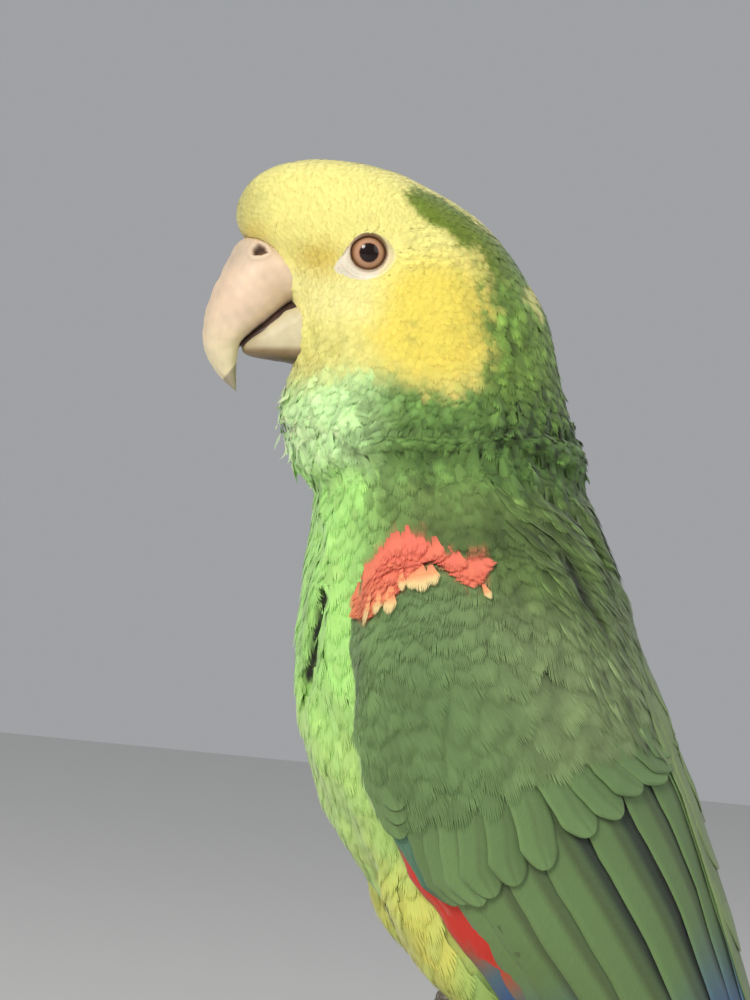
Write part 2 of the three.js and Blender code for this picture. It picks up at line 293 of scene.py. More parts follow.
def read_surface(mesh):
    """A mesh as a surface in the bird's own frame."""
    count = len(mesh.vertices)
    places = np.zeros(count * 3, np.float32)
    mesh.vertices.foreach_get("co", places)
    mesh.calc_loop_triangles()
    corners = np.zeros(len(mesh.loop_triangles) * 3, np.int32)
    mesh.loop_triangles.foreach_get("vertices", corners)
    return Surface(own(places.reshape(-1, 3)), corners.reshape(-1, 3))


def welded(meshes):
    """Several meshes' loose triangles joined in one form."""
    form = bmesh.new()
    for mesh in meshes:
        form.from_mesh(mesh)
    bmesh.ops.remove_doubles(form, verts=form.verts, dist=WELD)
    form.normal_update()
    return form


def swollen(form, step):
    """Moves a form's points outwards."""
    for corner in form.verts:
        corner.co += corner.normal * (step / 1000)


def released(form, name):
    """A form as a mesh."""
    mesh = bpy.data.meshes.new(name)
    form.to_mesh(mesh)
    form.free()
    return mesh


def fused(nodes, voxel, rounds, sleeves=()):
    """One smooth closed surface round several CAD nodes and the rear ends of others, cuts filled."""
    meshes = [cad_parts[node_name].data for node_name in nodes]
    form = welded(meshes + [sleeve(*each) for each in sleeves])
    places = own([corner.co for corner in form.verts])
    guide = BVHTree.FromPolygons(
        places.tolist(), [[corner.index for corner in face.verts] for face in form.faces]
    )
    swollen(form, FUSE_STEP)
    mesh = released(form, "fused")
    made = placed("fused", mesh)
    remesh = made.modifiers.new("remesh", "REMESH")
    remesh.mode = "VOXEL"
    remesh.voxel_size = voxel / 1000
    smoothing = made.modifiers.new("smooth", "SMOOTH")
    smoothing.factor = 0.5
    smoothing.iterations = rounds
    result = finished(made)
    bpy.data.objects.remove(made)
    bpy.data.meshes.remove(mesh)
    return restored(read_surface(result), guide)


def sleeve(node_name, place, forwards):
    """The part of a CAD node behind a plane, closed, a little larger than the node."""
    form = welded([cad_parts[node_name].data])
    swollen(form, SLEEVE_STEP)
    cut = bmesh.ops.bisect_plane(
        form, geom=form.verts[:] + form.edges[:] + form.faces[:], clear_outer=True,
        plane_co=metres(place), plane_no=forwards,
    )
    rim = [item for item in cut["geom_cut"] if isinstance(item, bmesh.types.BMEdge)]
    bmesh.ops.edgeloop_fill(form, edges=rim)
    return released(form, "sleeve")


def evened(surface, values, rounds):
    """Values at a surface's points, each drawn towards its neighbours' mean."""
    tris = surface.tris
    sides = np.concatenate([tris[:, [0, 1]], tris[:, [1, 2]], tris[:, [2, 0]]])
    count = len(values)
    near = np.maximum(np.bincount(sides[:, 0], minlength=count), 1)
    for _ in range(rounds):
        values = 0.4 * values + 0.6 * np.bincount(sides[:, 0], values[sides[:, 1]], count) / near
    return values


def restored(surface, guide):
    """Moves a smoothed surface back out to the solids it came from, by an even step."""
    step = np.empty(len(surface.points))
    for k, (point, normal) in enumerate(zip(surface.points.tolist(), surface.normals)):
        step[k] = (np.array(guide.find_nearest(point)[0]) - point) @ normal
    step = evened(surface, np.clip(step, -0.5, 1.6), 5)
    surface.points = surface.points + surface.normals * step[:, None]
    surface.settle()
    return surface


# Where the coat reaches forwards over each half of the bill: a plane there, and its way forwards.
BILL_SLEEVES = [
    ("bill_upper", (0, -20.2, -6.0), (0, -0.908, -0.419)),
    ("bill_lower", (0, -15.2, -20.0), (0, -1, 0)),
]


def bump(points, centre, size, height):
    """The height at each point of a soft mound on both sides of the bird."""
    mirrored = np.abs(points * [1, 0, 0]) + points * [0, 1, 1]
    away = ((mirrored - np.array(centre)) / np.array(size)) ** 2
    return height * np.exp(-away.sum(1))


# The fold at the ruffled neck's lower edge, seen from the side: y and z.
HOOD_PATH = np.array([[-18, -56.5], [-8, -55], [0, -49.6], [17, -46.3], [29, -45.4], [39, -43.8],
                      [54, -47.3], [62, -49]])


def above_hood(p):
    """How far each place is above the fold where the ruffled neck ends."""
    return p[:, 2] - np.interp(p[:, 1], HOOD_PATH[:, 0], HOOD_PATH[:, 1])


def streaks(p):
    """Shallow grooves that run back from the eye's rear corner, from -1 to 1."""
    x, y, z = p.T
    across = 0.972 * z - 0.223 * y
    here = ease(y, 5, 9) * (1 - ease(y, 20, 26))
    here = here * ease(across, -6.5, -4.5) * (1 - ease(across, 5, 7.5)) * ease(np.abs(x), 9, 13)
    return here * np.sin(2 * math.pi * (across + 0.5 * ripple(p, 9, 8)) / 2.3)


# Lines where the coat folds or parts, seen from the side: path, width, depth and the darkness of the
# painted shade in them.
CREASES = [
    ([[-3.2, -81.5], [-4.1, -85.5], [-3.8, -89.5], [-4.7, -94], [-4.3, -98], [-5.2, -105]],
     0.6, 2.0, 1.0),
    ([[-5.6, -65.5], [-5.0, -71.5]], 0.45, 1.2, 0.8),
    ([[-15.4, -43.3], [-3.9, -44.7], [1.3, -42.8], [11.2, -41.4], [21.4, -40.3], [31.3, -39.7],
      [39.8, -37.9], [52.8, -37.9]], 1.0, 0.9, 0.45),
    ([[-3.9, -44.7], [2, -49.1], [8.8, -47.5], [17.3, -46.6], [24.5, -45.8], [29.2, -44.7]],
     1.0, 0.9, 0.6),
    ([[29, -41.5], [38.3, -43.1], [51.5, -46.8]], 0.9, 1.2, 0.5),
    ([[38.5, -49.9], [47.1, -53.2], [56.8, -58.5], [63, -68]], 0.9, 0.9, 0.3),
    ([[49.4, -66], [53.4, -70.4], [58, -77.4], [62, -82]], 0.9, 1.1, 0.65),
    ([[46, -60], [52, -65], [57, -72]], 0.6, 0.8, 0.4),
    ([[51.5, -66], [53.6, -70], [57.2, -77]], 1.2, 1.2, 0.95),
]


def on_slit(p, reach=0.8):
    """True where no feather grows across the parting of the breast."""
    gap = path_gap(p, CREASES[0][0])
    uneven = 1 + 0.45 * ripple(p, 3.5, 22)
    return (gap < reach * uneven) & (p[:, 0] > 4)


def creased(p, least=0.0):
    """How deep the folds are at each place, how dark the painted shade in them is, and the swell beside
    them.
    """
    depth, dark, swell = np.zeros((3, len(p)))
    for path, width, most, shade in CREASES:
        gap = path_gap(p, path)
        one_side = 1.0 if most < 1.0 or shade < 0.7 else ease(p[:, 0], 5, 8)
        share = hump(gap, 0, max(width, least)) * one_side
        depth = np.maximum(depth, most * share)
        dark = np.maximum(dark, shade * share)
        swell = np.maximum(swell, 0.5 * most * hump(gap, 2.4, 1.3) * one_side)
    return depth, dark, swell


def slanted(p):
    """The same places drawn together along the slant of the neck's tufts."""
    x, y, z = p.T
    return np.stack([x, 0.71 * (y - z), 0.28 * (y + z)], 1)


def drawn_out(p):
    """The same places drawn together along the slope of the back's feathers."""
    x, y, z = p.T
    return np.stack([np.abs(x), 0.9 * y + 0.42 * z, 0.18 * (0.42 * y - 0.9 * z)], 1)


def shape_body(surface):
    """Adds the face's and neck's own forms to the plain solids."""
    p = surface.points
    height = (
        bump(p, (17, -2, 8.5), (7, 8, 3.2), 0.7)
        + bump(p, (13.5, -15, -3), (8, 5.5, 4), -0.7)
        + bump(p, (21, 10, -16), (9, 11, 9), 0.8)
        + bump(p, (0, -29, 10), (9, 6, 7), 0.3)
    )
    height += 0.42 * streaks(p)
    above_fold = above_hood(p)
    height += 1.3 * hump(above_fold, 4.0, 3.5)
    height -= 1.0 * hump(above_fold, -2.2, 2.4)
    lumpy = ease(-p[:, 2], 26, 36) * (1 - ease(-p[:, 2], 52, 58))
    height += lumpy * (0.35 * ripple(p, 6.5, 4) + 0.75 * ripple(slanted(p), 3.4, 16))
    body = ease(-p[:, 2], 56, 66)
    height += 0.6 * body * ripple(p, 17, 3)
    depth, _, swell = creased(p, least=1.1)
    height += swell - depth
    surface.points = p + surface.normals * height[:, None]
    surface.settle()


# Colours and markings.

CROWN_YELLOW = tone(249, 240, 146)
CHEEK_YELLOW = tone(246, 226, 98)
PALE_YELLOW = tone(250, 242, 160)
CHIN_YELLOW = tone(230, 224, 134)
# Dark gold for painted shade in the lore's hollow and under the forehead at the bill's base.
SHADE_GOLD = tone(220, 190, 78)
THROAT_MINT = tone(206, 246, 172)
NECK_GREEN = tone(106, 144, 70)
NAPE_GREEN = tone(108, 138, 58)
WEDGE_GREEN = tone(116, 138, 40)
BREAST_GREEN = tone(182, 238, 132)
BELLY_GREEN = tone(196, 232, 132)
MANTLE_GREEN = tone(102, 128, 66)
RUMP_GREEN = tone(120, 168, 70)
WING_GREEN = tone(98, 138, 80)
SHOULDER_RED = tone(244, 122, 100)
# The painted shade in the coat's creases and its parting.
CREASE_SHADOW = tone(24, 28, 13)
EDGE_CREAM = tone(250, 226, 160)
EDGE_ORANGE = tone(246, 160, 104)
THIGH_YELLOW = tone(228, 214, 96)
MOTTLE_OLIVE = tone(196, 188, 92)

# Outlines of markings, seen from the bird's side: y and z.
YELLOW_EDGE = [
    [-45, -34], [-15, -33], [-8, -30], [0, -28.4], [8, -29.8], [16.6, -31.6], [22, -32.8],
    [26.5, -29.3], [30.5, -21.5], [29.7, -18], [27, -15.7], [29, -10.3], [26, -7], [29, -4],
    [27.3, 1], [27.5, 5], [32, 8], [36, 16], [30, 30], [-45, 30],
]
WEDGE_EDGE = [
    [5.6, 14.2], [9, 10.9], [11, 8.8], [16.4, 6.9], [18.4, 4.3], [25.3, 4], [29, 0], [40, 4],
    [33, 16], [24, 24], [12, 24],
]
CHEEK_MARKS = [(10.3, -16.0), (10.8, -19.6)]
RED_EDGE = [
    [3.4, -86], [3.7, -79.5], [5.2, -73.6], [8.6, -67.3], [13, -63.6], [17.4, -66.3], [22, -67.5],
    [25.3, -68.7], [31.5, -67], [33.1, -70.5], [29.3, -76.1], [26.5, -74.9], [23.3, -72.6],
    [19.5, -70.8], [16.5, -72.5], [14, -75], [11.8, -79], [8.5, -82], [6, -86],
]


def path_gap(p, path):
    """How far each place, seen from the side, is from a bent line."""
    places = p[:, None, 1:]
    starts, ends = np.array(path[:-1]), np.array(path[1:])
    steps = ends - starts
    share = ((places - starts) * steps).sum(-1) / (steps**2).sum(-1)
    nearest = starts + steps * np.clip(share, 0, 1)[..., None]
    return np.linalg.norm(places - nearest, axis=-1).min(1)


def inside_by(p, outline):
    """How far inside a closed outline each place lies, seen from the side; below 0 outside it."""
    y, z = p[:, 1], p[:, 2]
    corners = np.asarray(outline, float)
    following = np.roll(corners, -1, 0)
    gap = path_gap(p, np.concatenate([corners, corners[:1]]))
    crosses = (corners[:, 1] > z[:, None]) != (following[:, 1] > z[:, None])
    rise = following[:, 1] - corners[:, 1]
    rise = np.where(np.abs(rise) < 1e-6, 1e-6, rise)
    at = corners[:, 0] + (z[:, None] - corners[:, 1]) * (following[:, 0] - corners[:, 0]) / rise
    inside = (crosses & (y[:, None] < at)).sum(1) % 2 == 1
    return np.where(inside, gap, -gap)


def yellow_share(p):
    """How yellow the head is at each place, from 0 to 1."""
    x, y, z = np.abs(p[:, 0]), p[:, 1], p[:, 2]
    wobble = 0.7 * ripple(p, 5, 11) + 0.5 * ripple(p, 2.4, 12)
    wobble = wobble * (1 + 1.5 * ease(y, 14, 24) * ease(z, -24, -14))
    soft = np.interp(y, [-15, 0, 12], [4.6, 4.2, 2.4])
    share = ease(inside_by(p, YELLOW_EDGE) + wobble, -soft, soft)
    wedge = ease(inside_by(p, WEDGE_EDGE) + 0.7 * wobble, -0.8, 0.8)
    wedge = wedge * ease(x - np.interp(y, [5, 10, 20, 30], [13, 11.5, 9.2, 8.0]) + wobble, -1.2, 1.2)
    share = share * (1 - wedge)
    fleck = ((np.stack([x, y, z], 1) - [7.4, 39.9, -8.2]) / [5.5, 4.4, 4.6]) ** 2
    return np.maximum(share, 0.9 * ease(1 - fleck.sum(1) + 0.3 * wobble, 0, 0.5))


def red_share(p):
    """How red the bend of the wing is at each place."""
    inside = inside_by(p, RED_EDGE) + 0.3 * ripple(p, 4, 21)
    return ease(inside, -0.2, 0.9) * ease(np.abs(p[:, 0]), 22, 26)


def markings(p, red=1.0):
    """The bird's colour at each place, with painted shade in its hollows, grooves and folds and painted
    light on its neck's tufts.
    """
    x, y, z = np.abs(p[:, 0]), p[:, 1], p[:, 2]
    one = lambda values: values[:, None]

    rich = spot(y, z, (16, -15), (18, 16))
    pale = ease(-y, -9, 6) * ease(-z, 2, 8) * (1 - ease(-z, 14, 20))
    chin = ease(-y, -5, 6) * ease(-z, 15, 23)
    yellow = washed(CROWN_YELLOW, (CHEEK_YELLOW, ease(rich, 0.15, 0.7)), (PALE_YELLOW, pale),
                    (CHIN_YELLOW, chin))
    yellow = yellow * one(1 - 0.3 * ease(-y, 22, 32) * ease(z, -2, 6) * (1 - ease(z, 10, 18)))
    # Painted shade: dark gold in the hollow of the lore before the eye, and under the forehead's overhang
    # at the bill's base.
    lore_shade = spot(y, z, (-12, -2.5), (5, 4))
    bill_base_shade = spot(y, z, (-28, 2), (4, 2.5))
    yellow = washed(yellow, (SHADE_GOLD, np.clip(0.8 * lore_shade + 0.5 * bill_base_shade, 0, 1)))
    for mark in CHEEK_MARKS:
        yellow = washed(yellow, (MOTTLE_OLIVE * 0.8, 0.75 * spot(y, z, mark, (1.7, 0.8))))
    border = hump(inside_by(p, YELLOW_EDGE), 0, 5) * ease(y, -4, 8)
    mottle = np.clip(ripple(p, 4, 13) + 0.6 * ripple(p, 2.2, 14), 0, 1)
    mottle = np.clip(mottle * (0.1 + 0.5 * chin) + 0.5 * border, 0, 1)
    yellow = washed(yellow, (MOTTLE_OLIVE, mottle))
    wrinkled = ease(-y, -8, 2) * ease(-z, 7, 14)
    # The streaks term paints shade in the grooves behind the eye and light on the ridges between them, as
    # the relief has them.
    yellow = yellow * one(1 + 0.2 * streaks(p) + 0.09 * wrinkled * ripple(slanted(p), 1.9, 20))

    back = ease(y - 0.35 * z, 40, 62)
    green = washed(NECK_GREEN, (THROAT_MINT, ease(-y, -12, 8)),
                   (NAPE_GREEN, ease(y, 20, 34) * ease(z, -42, -24)),
                   (WEDGE_GREEN, (1 - ease(y, 26, 38)) * ease(z, -8, 2)))
    shade = hump(above_hood(p), -2.5, 2.2)
    edge = np.interp(z, [-150, -120, -80, -56], [60, 12, 5.5, 6])
    blur = np.interp(z, [-90, -75, -56], [2, 7, 9])
    front = 1 - ease(y + 2 * ripple(p, 14, 5), edge - blur, edge + blur)
    trunk = washed(MANTLE_GREEN, (BREAST_GREEN, front), (BELLY_GREEN, front * ease(-z, 95, 130)),
                   (RUMP_GREEN, ease(-z, 160, 200)))
    green = washed(green, (trunk, ease(-z - 50, -2, 6)))
    green = green * one(1 - 0.12 * back) * one(1 - 0.2 * shade)
    dusky = spot(y, z, (28, -65), (17, 6))
    bright = spot(y, z, (26, -55.5), (10, 3.5))
    green = green * one(1 - 0.27 * dusky + 0.35 * bright)
    ruffled = ease(-z, 8, 24) * (1 - ease(-z, 54, 60))
    nape = ease(y, 22, 34) * ease(-z, -4, 8) * (1 - ease(-z, 46, 56))
    # Painted light on the neck's and nape's tufts and painted shade between them, from the same ripple as
    # their relief.
    tuft_shading = mix(0.05, 0.42, np.maximum(ruffled, nape)) * ripple(slanted(p), 3.4, 16)
    green = green * one(1 + 0.07 * ripple(p, 9, 15) + tuft_shading)
    # Painted light on the nape's knobs and painted shade between them; the nape lighter high up and darker
    # with painted shade low down, above the fold.
    green = green * one(1 + nape * (0.62 * ripple(p, 4.2, 17) + 0.3 - 0.55 * ease(-z, 18, 36)))

    colour = washed(green, (yellow, yellow_share(p)), (SHOULDER_RED, red * red_share(p)))
    breast = ease(-y, 3.5, 5) * ease(-z, 78, 84) * (1 - ease(-z, 102, 110)) * (x > 6)
    colour = colour * one(1 - 0.2 * breast)
    mantle = ease(y, 24, 38) * ease(-z, 46, 54) * (1 - ease(-z, 110, 140))
    colour = colour * one(1 + 0.34 * mantle * ripple(drawn_out(p), 2.6, 18))
    thigh = ease(-z, 138, 152) * (1 - ease(y, 30, 44)) * ease(x, 8, 14)
    return washed(colour, (THIGH_YELLOW, 0.6 * thigh * (1 + 0.3 * ripple(p, 6, 19))))


# Materials.


class Tree:
    """A node tree while it is made. A socket is given a constant or another node's output."""

    def __init__(self, tree):
        self.nodes, self.links = tree.nodes, tree.links

    def give(self, made, key, value):
        if isinstance(value, bpy.types.NodeSocket):
            self.links.new(value, made.inputs[key])
        else:
            made.inputs[key].default_value = value

    def add(self, kind, inputs=(), output=0, **settings):
        """Adds a node with its settings and inputs; its output is what comes back."""
        made = self.nodes.new(kind)
        for key, value in settings.items():
            setattr(made, key, value)
        for key, value in dict(inputs).items():
            self.give(made, key, value)
        return made.outputs[output]


class Finish(Tree):
    """A material while it is made, with constants for its shader's own sockets."""

    def __init__(self, name, constants):
        self.material = bpy.data.materials.new(name)
        self.material.use_nodes = True
        super().__init__(self.material.node_tree)
        for key, value in constants.items():
            self.wear(key, value)

    def wear(self, key, value):
        self.give(self.nodes["Principled BSDF"], key, value)

    def tint(self):
        """The colour painted on the mesh's points."""
        return self.add("ShaderNodeAttribute", attribute_name="tint")

    def place(self, stretch=None):
        """A place on the piece, in metres, drawn out along its axes."""
        place = self.add("ShaderNodeTexCoord", output="Object")
        return self.stretched(place, stretch) if stretch else place

    def stretched(self, place, stretch):
        return self.add("ShaderNodeMapping", {"Vector": place, "Scale": stretch})

    def flat_map(self, name):
        """How far each place lies across and along one of the mesh's maps."""
        flat = self.add("ShaderNodeUVMap", uv_map=name)
        return self.add("ShaderNodeSeparateXYZ", {0: flat}).node.outputs[:2]

    def noise(self, place, scale, detail, **inputs):
        inputs.update({"Vector": place, "Scale": scale, "Detail": detail})
        return self.add("ShaderNodeTexNoise", inputs)

    def maths(self, operation, *values):
        return self.add("ShaderNodeMath", dict(enumerate(values)), operation=operation)

    def between(self, low, high, share):
        """A value between low and high, as share goes from 0 to 1."""
        return self.add("ShaderNodeMapRange", {"Value": share, "To Min": low, "To Max": high})

    def tinted(self, low, high, share, colour):
        """A colour made darker and lighter between low and high."""
        scale = self.between(low, high, share)
        return self.add("ShaderNodeVectorMath", {0: colour, "Scale": scale}, operation="SCALE")

    def ramp(self, share, *stops):
        """A colour from stops, each a place from 0 to 1 and a screen colour."""
        colour = self.add("ShaderNodeValToRGB", {0: share})
        elements = colour.node.color_ramp.elements
        while len(elements) < len(stops):
            elements.new(0.5)
        for element, (place, shade) in zip(elements, stops):
            element.position = place
            element.color = (*tone(*shade), 1)
        return colour

    def relief(self, height, strength, depth, sunk=False):
        """Fine relief, its depth in millimetres."""
        inputs = {"Height": height, "Strength": strength, "Distance": depth / 1000}
        self.wear("Normal", self.add("ShaderNodeBump", inputs, invert=sunk))


def plume_material(name, roughness, streak, depth, sheen=0.25):
    """Feather vane: each feather's own colour with fine barbs that slant out from its shaft."""
    made = Finish(name, {"Roughness": roughness, "Specular IOR Level": 0.3, "Sheen Weight": sheen,
                         "Sheen Roughness": 0.5})
    across, along = made.flat_map("vane")
    across = made.maths("ABSOLUTE", across)
    slant = made.maths("SUBTRACT", along, across)
    run = made.maths("MULTIPLY", made.maths("ADD", along, across), 0.1)
    barbs = made.noise(made.add("ShaderNodeCombineXYZ", {0: slant, 1: run}), 2.2, 3.0, Roughness=0.6)
    made.wear("Base Color", made.tinted(1 - streak, 1 + streak, barbs, made.tint()))
    made.relief(barbs, depth, 0.2)
    return made.material


def skin_material():
    """Thin skin under the coat, in the coat's colours, with fine pores."""
    made = Finish("under_skin", {"Roughness": 0.8})
    pores = made.noise(made.place(), 900.0, 2.0)
    made.wear("Base Color", made.tinted(0.8, 1.15, pores, made.tint()))
    made.relief(pores, 0.3, 0.2)
    return made.material


def bare_skin_material():
    """The pale naked skin round the eye, finely wrinkled."""
    made = Finish("bare_eye_skin", {"Roughness": 0.5, "Subsurface Weight": 0.15,
                                    "Subsurface Scale": 0.001})
    wrinkles = made.noise(made.place(), 1400.0, 3.0)
    made.wear("Base Color", made.tinted(0.86, 1.1, wrinkles, made.tint()))
    made.relief(wrinkles, 0.35, 0.15)
    return made.material


def horn_material():
    """Bill horn: pale layers with faint growth lines along the bill and a soft shine."""
    made = Finish("bill_horn", {"Subsurface Weight": 0.2, "Subsurface Radius": (1.0, 0.6, 0.4),
                                "Subsurface Scale": 0.0015})
    grain = made.add("ShaderNodeUVMap", uv_map="grain")
    lines = made.noise(made.stretched(grain, (26.0, 2.4, 1.0)), 1.0, 5.0, Roughness=0.62)
    patches = made.noise(made.place(), 160.0, 3.0)
    lined = made.tinted(0.93, 1.06, lines, made.tint())
    made.wear("Base Color", made.tinted(0.9, 1.09, patches, lined))
    made.wear("Roughness", made.between(0.34, 0.56, patches))
    made.relief(lines, 0.25, 0.25)
    return made.material


def eye_material():
    """The wet eyeball: black pupil, pale peach inner ring, brown outer ring with fine fibres."""
    made = Finish("eye", {"Roughness": 0.5, "Specular IOR Level": 0.05, "Coat Weight": 1.0,
                          "Coat Roughness": 0.02, "Coat IOR": 1.4})
    level, height = made.flat_map("iris")
    squares = [made.maths("POWER", each, 2.0) for each in (level, height)]
    reach = made.maths("SQRT", made.maths("ADD", *squares))
    turn = made.maths("MULTIPLY", made.maths("ARCTAN2", height, level), 7.0)
    spoke = made.add("ShaderNodeCombineXYZ", {0: turn, 1: made.maths("MULTIPLY", reach, 1.2)})
    fibres = made.noise(spoke, 1.6, 4.0)
    uneven = made.maths("MULTIPLY", made.maths("SUBTRACT", fibres, 0.5), 0.35)
    share = made.maths("DIVIDE", made.maths("ADD", reach, uneven), IRIS_REACH)
    edge = PUPIL_RADIUS / IRIS_REACH
    rings = made.ramp(
        share,
        (0.0, (20, 4, 1)), (edge - 0.02, (24, 6, 1)), (edge + 0.01, (110, 66, 42)),
        (0.49, (188, 142, 112)), (0.60, (192, 146, 114)), (0.67, (170, 124, 90)),
        (0.74, (132, 90, 58)), (0.82, (92, 58, 36)), (1.0, (60, 40, 28)),
    )
    made.wear("Base Color", made.tinted(0.8, 1.18, fibres, rings))
    return made.material


def leg_material():
    """Dry grey scaled skin, darker between its scales."""
    made = Finish("leg_skin", {"Roughness": 0.62})
    place = made.place()
    scales = made.add("ShaderNodeTexVoronoi", {"Vector": place, "Scale": 1100.0}, "Distance")
    dust = made.noise(place, 260.0, 4.0)
    greys = made.ramp(scales, (0.0, (168, 158, 146)), (0.75, (92, 84, 78)))
    made.wear("Base Color", made.tinted(0.75, 1.25, dust, greys))
    made.relief(scales, 0.6, 0.3, sunk=True)
    return made.material


def mottled_material(name, dark, light, scale, roughness):
    """Horn or moist skin, softly mottled between two colours."""
    made = Finish(name, {"Roughness": roughness})
    layers = made.noise(made.place(), scale, 4.0)
    made.wear("Base Color", made.ramp(layers, (0.0, dark), (1.0, light)))
    made.relief(layers, 0.2, 0.2)
    return made.material


def wood_material(name, light, dark, roughness):
    """Plain wood with its grain from side to side."""
    made = Finish(name, {"Roughness": roughness})
    place = made.place(stretch=(4.0, 60.0, 60.0))
    grain = made.noise(place, 2.5, 6.0, Roughness=0.62, Distortion=0.6)
    pores = made.noise(place, 22.0, 2.0)
    browns = made.ramp(grain, (0.32, dark), (0.68, light))
    made.wear("Base Color", made.tinted(0.82, 1.12, pores, browns))
    made.relief(pores, 0.35, 0.3)
    return made.material


def steel_material():
    """Steel brushed along the rod."""
    made = Finish("rod_steel", {"Base Color": (0.56, 0.57, 0.58, 1), "Metallic": 1.0})
    brushed = made.noise(made.place(stretch=(900.0, 900.0, 20.0)), 1.0, 3.0)
    made.wear("Roughness", made.between(0.24, 0.42, brushed))
    return made.material


# Feathers. A feather's shape is told by across, from -1 to 1, and along, from 0 at its root to 1.


def contour_shapes(barbs, kinds, fringe, seed):
    """A few kinds of one soft feather: a plain base, and barbs that part and taper at its edge."""
    rng = np.random.default_rng(seed)
    across, along, lift, group = [], [], [], []
    quads, tris = [], []
    for place, width in ((0.0, 0.34), (0.46, 0.72)):
        for side in (-1, 0, 1):
            across.append(np.full(kinds, side * width))
            along.append(np.full(kinds, place))
            lift.append(np.zeros(kinds))
            group.append(0)
    quads += [[0, 1, 4, 3], [1, 2, 5, 4]]
    for barb in range(barbs):
        side = (barb + 0.5) / barbs * 2 - 1
        end = 1 - 0.36 * side**2 - rng.uniform(0, fringe, kinds)
        sway = rng.normal(0, 0.25 / barbs, kinds)
        raised = rng.normal(0, 1, kinds)
        first = len(across)
        for share, spread, half in ((0.0, 0.66, 1.25), (0.5, 0.86, 1.2), (0.82, 0.97, 0.72)):
            for edge in (-1, 1):
                across.append(side * spread + sway * share + edge * half * spread / barbs)
                along.append(0.38 + (end - 0.38) * share)
                lift.append(raised * share)
                group.append(barb + 1)
        across.append(side * 1.0 + sway * 1.6)
        along.append(end)
        lift.append(raised * 1.1)
        group.append(barb + 1)
        a = first
        quads += [[a, a + 1, a + 3, a + 2], [a + 2, a + 3, a + 5, a + 4]]
        tris += [[a + 4, a + 5, a + 6]]
    stack = lambda rows: np.array(rows).T
    return {
        "across": stack(across), "along": stack(along), "lift": stack(lift),
        "group": np.array(group), "quads": np.array(quads), "tris": np.array(tris),
        "barbs": barbs, "kinds": kinds,
    }


def vane_shape(rows, columns, tip, seed):
    """One long flight feather: a firm vane with a round or pointed tip and a raised shaft."""
    along = 1 - (1 - np.linspace(0, 1, rows)) ** 1.5
    rounding = np.clip((along - (1 - tip)) / tip, 0, 1)
    width = np.minimum(1, 0.4 + 1.4 * along) * np.sqrt(np.clip(1 - rounding**2.2, 0, 1))
    sides = np.linspace(-1, 1, columns)
    across = sides[None] * width[:, None]
    along = np.repeat(along[:, None], columns, 1)
    rng = np.random.default_rng(seed)
    wave = 0.02 * np.sin(along * 40 + rng.uniform(0, 6)) * np.abs(sides)[None] ** 4
    lift = hump(across, 0, 0.06) * (1 - along)
    return {
        "across": (across + wave).reshape(1, -1), "along": along.reshape(1, -1),
        "lift": lift.reshape(1, -1), "group": np.zeros(rows * columns, int),
        "quads": grid_quads(rows, columns), "tris": np.zeros((0, 3), int),
        "barbs": 1, "kinds": 1,
    }


class Feathers:
    """Feathers to be laid: the strip under each, its normals, half widths and lengths.

    A strip's places and normals go by feather, by step along it, and by left, centre and right."""

    def __init__(self, strips, normals, halves, lengths):
        self.strips, self.normals, self.halves, self.lengths = strips, normals, halves, lengths
        self.count = len(halves)

    def only(self, chosen):
        parts = (self.strips, self.normals, self.halves, self.lengths)
        return Feathers(*(part[chosen] for part in parts))

    def cut(self, share):
        """The same feathers cut back to a share of their lengths."""
        strips, normals = shortened(self.strips, share), shortened(self.normals, share)
        return Feathers(strips, normals, self.halves, self.lengths * share)

    def both_sides(self):
        """The same feathers for the bird's left and right, where a strip's sides change over."""
        turn = np.array([-1, 1, 1])
        strips, normals = self.strips[:, :, ::-1] * turn, self.normals[:, :, ::-1] * turn
        yield "left", 1, self
        yield "right", -1, Feathers(strips, normals, self.halves, self.lengths)

    def middle_line(self, shares):
        """Places at these shares of each feather's length, along its middle."""
        along = np.tile(shares, (self.count, 1))
        return on_strips(self.strips, np.zeros(along.shape), along)


def run_over(surface, roots, heading, halves, lengths, flow, steps):
    """Feathers laid over a surface from their roots, each step turned a little by the flow."""
    places, normals = surface.drop(roots)
    heading = unit(heading - (heading * normals).sum(1, keepdims=True) * normals)
    strips, strip_normals = [], []
    for step in range(steps):
        sideways = unit(np.cross(heading, normals)) * halves[:, None]
        edges, edge_normals = surface.drop(np.stack([places - sideways, places + sideways], 1))
        strips.append(np.stack([edges[:, 0], places, edges[:, 1]], 1))
        strip_normals.append(np.stack([edge_normals[:, 0], normals, edge_normals[:, 1]], 1))
        if step == steps - 1:
            break
        stride = (lengths / (steps - 1))[:, None]
        places, normals = surface.drop(places + heading * stride)
        wanted = heading if flow is None else 0.55 * heading + 0.45 * flow(places)
        heading = unit(wanted - (wanted * normals).sum(1, keepdims=True) * normals)
    return Feathers(np.stack(strips, 1), np.stack(strip_normals, 1), halves, lengths)


def shortened(strips, share):
    """The strips cut back to a share of their length."""
    steps = strips.shape[1]
    place = share[:, None] * np.arange(steps)
    low = np.minimum(place.astype(int), steps - 2)
    row = np.arange(len(strips))[:, None]
    return mix(strips[row, low], strips[row, low + 1], (place - low)[..., None, None])


def clear_share(feathers, covered):
    """The share of each feather that its middle line runs before it meets a covered place."""
    shares = np.linspace(0, 1, 13)
    shut = covered(feathers.middle_line(shares).reshape(-1, 3)).reshape(-1, 13)
    shut[:, 0] = False
    return np.where(shut.any(1), shares[np.maximum(shut.argmax(1) - 1, 0)], 1.0)


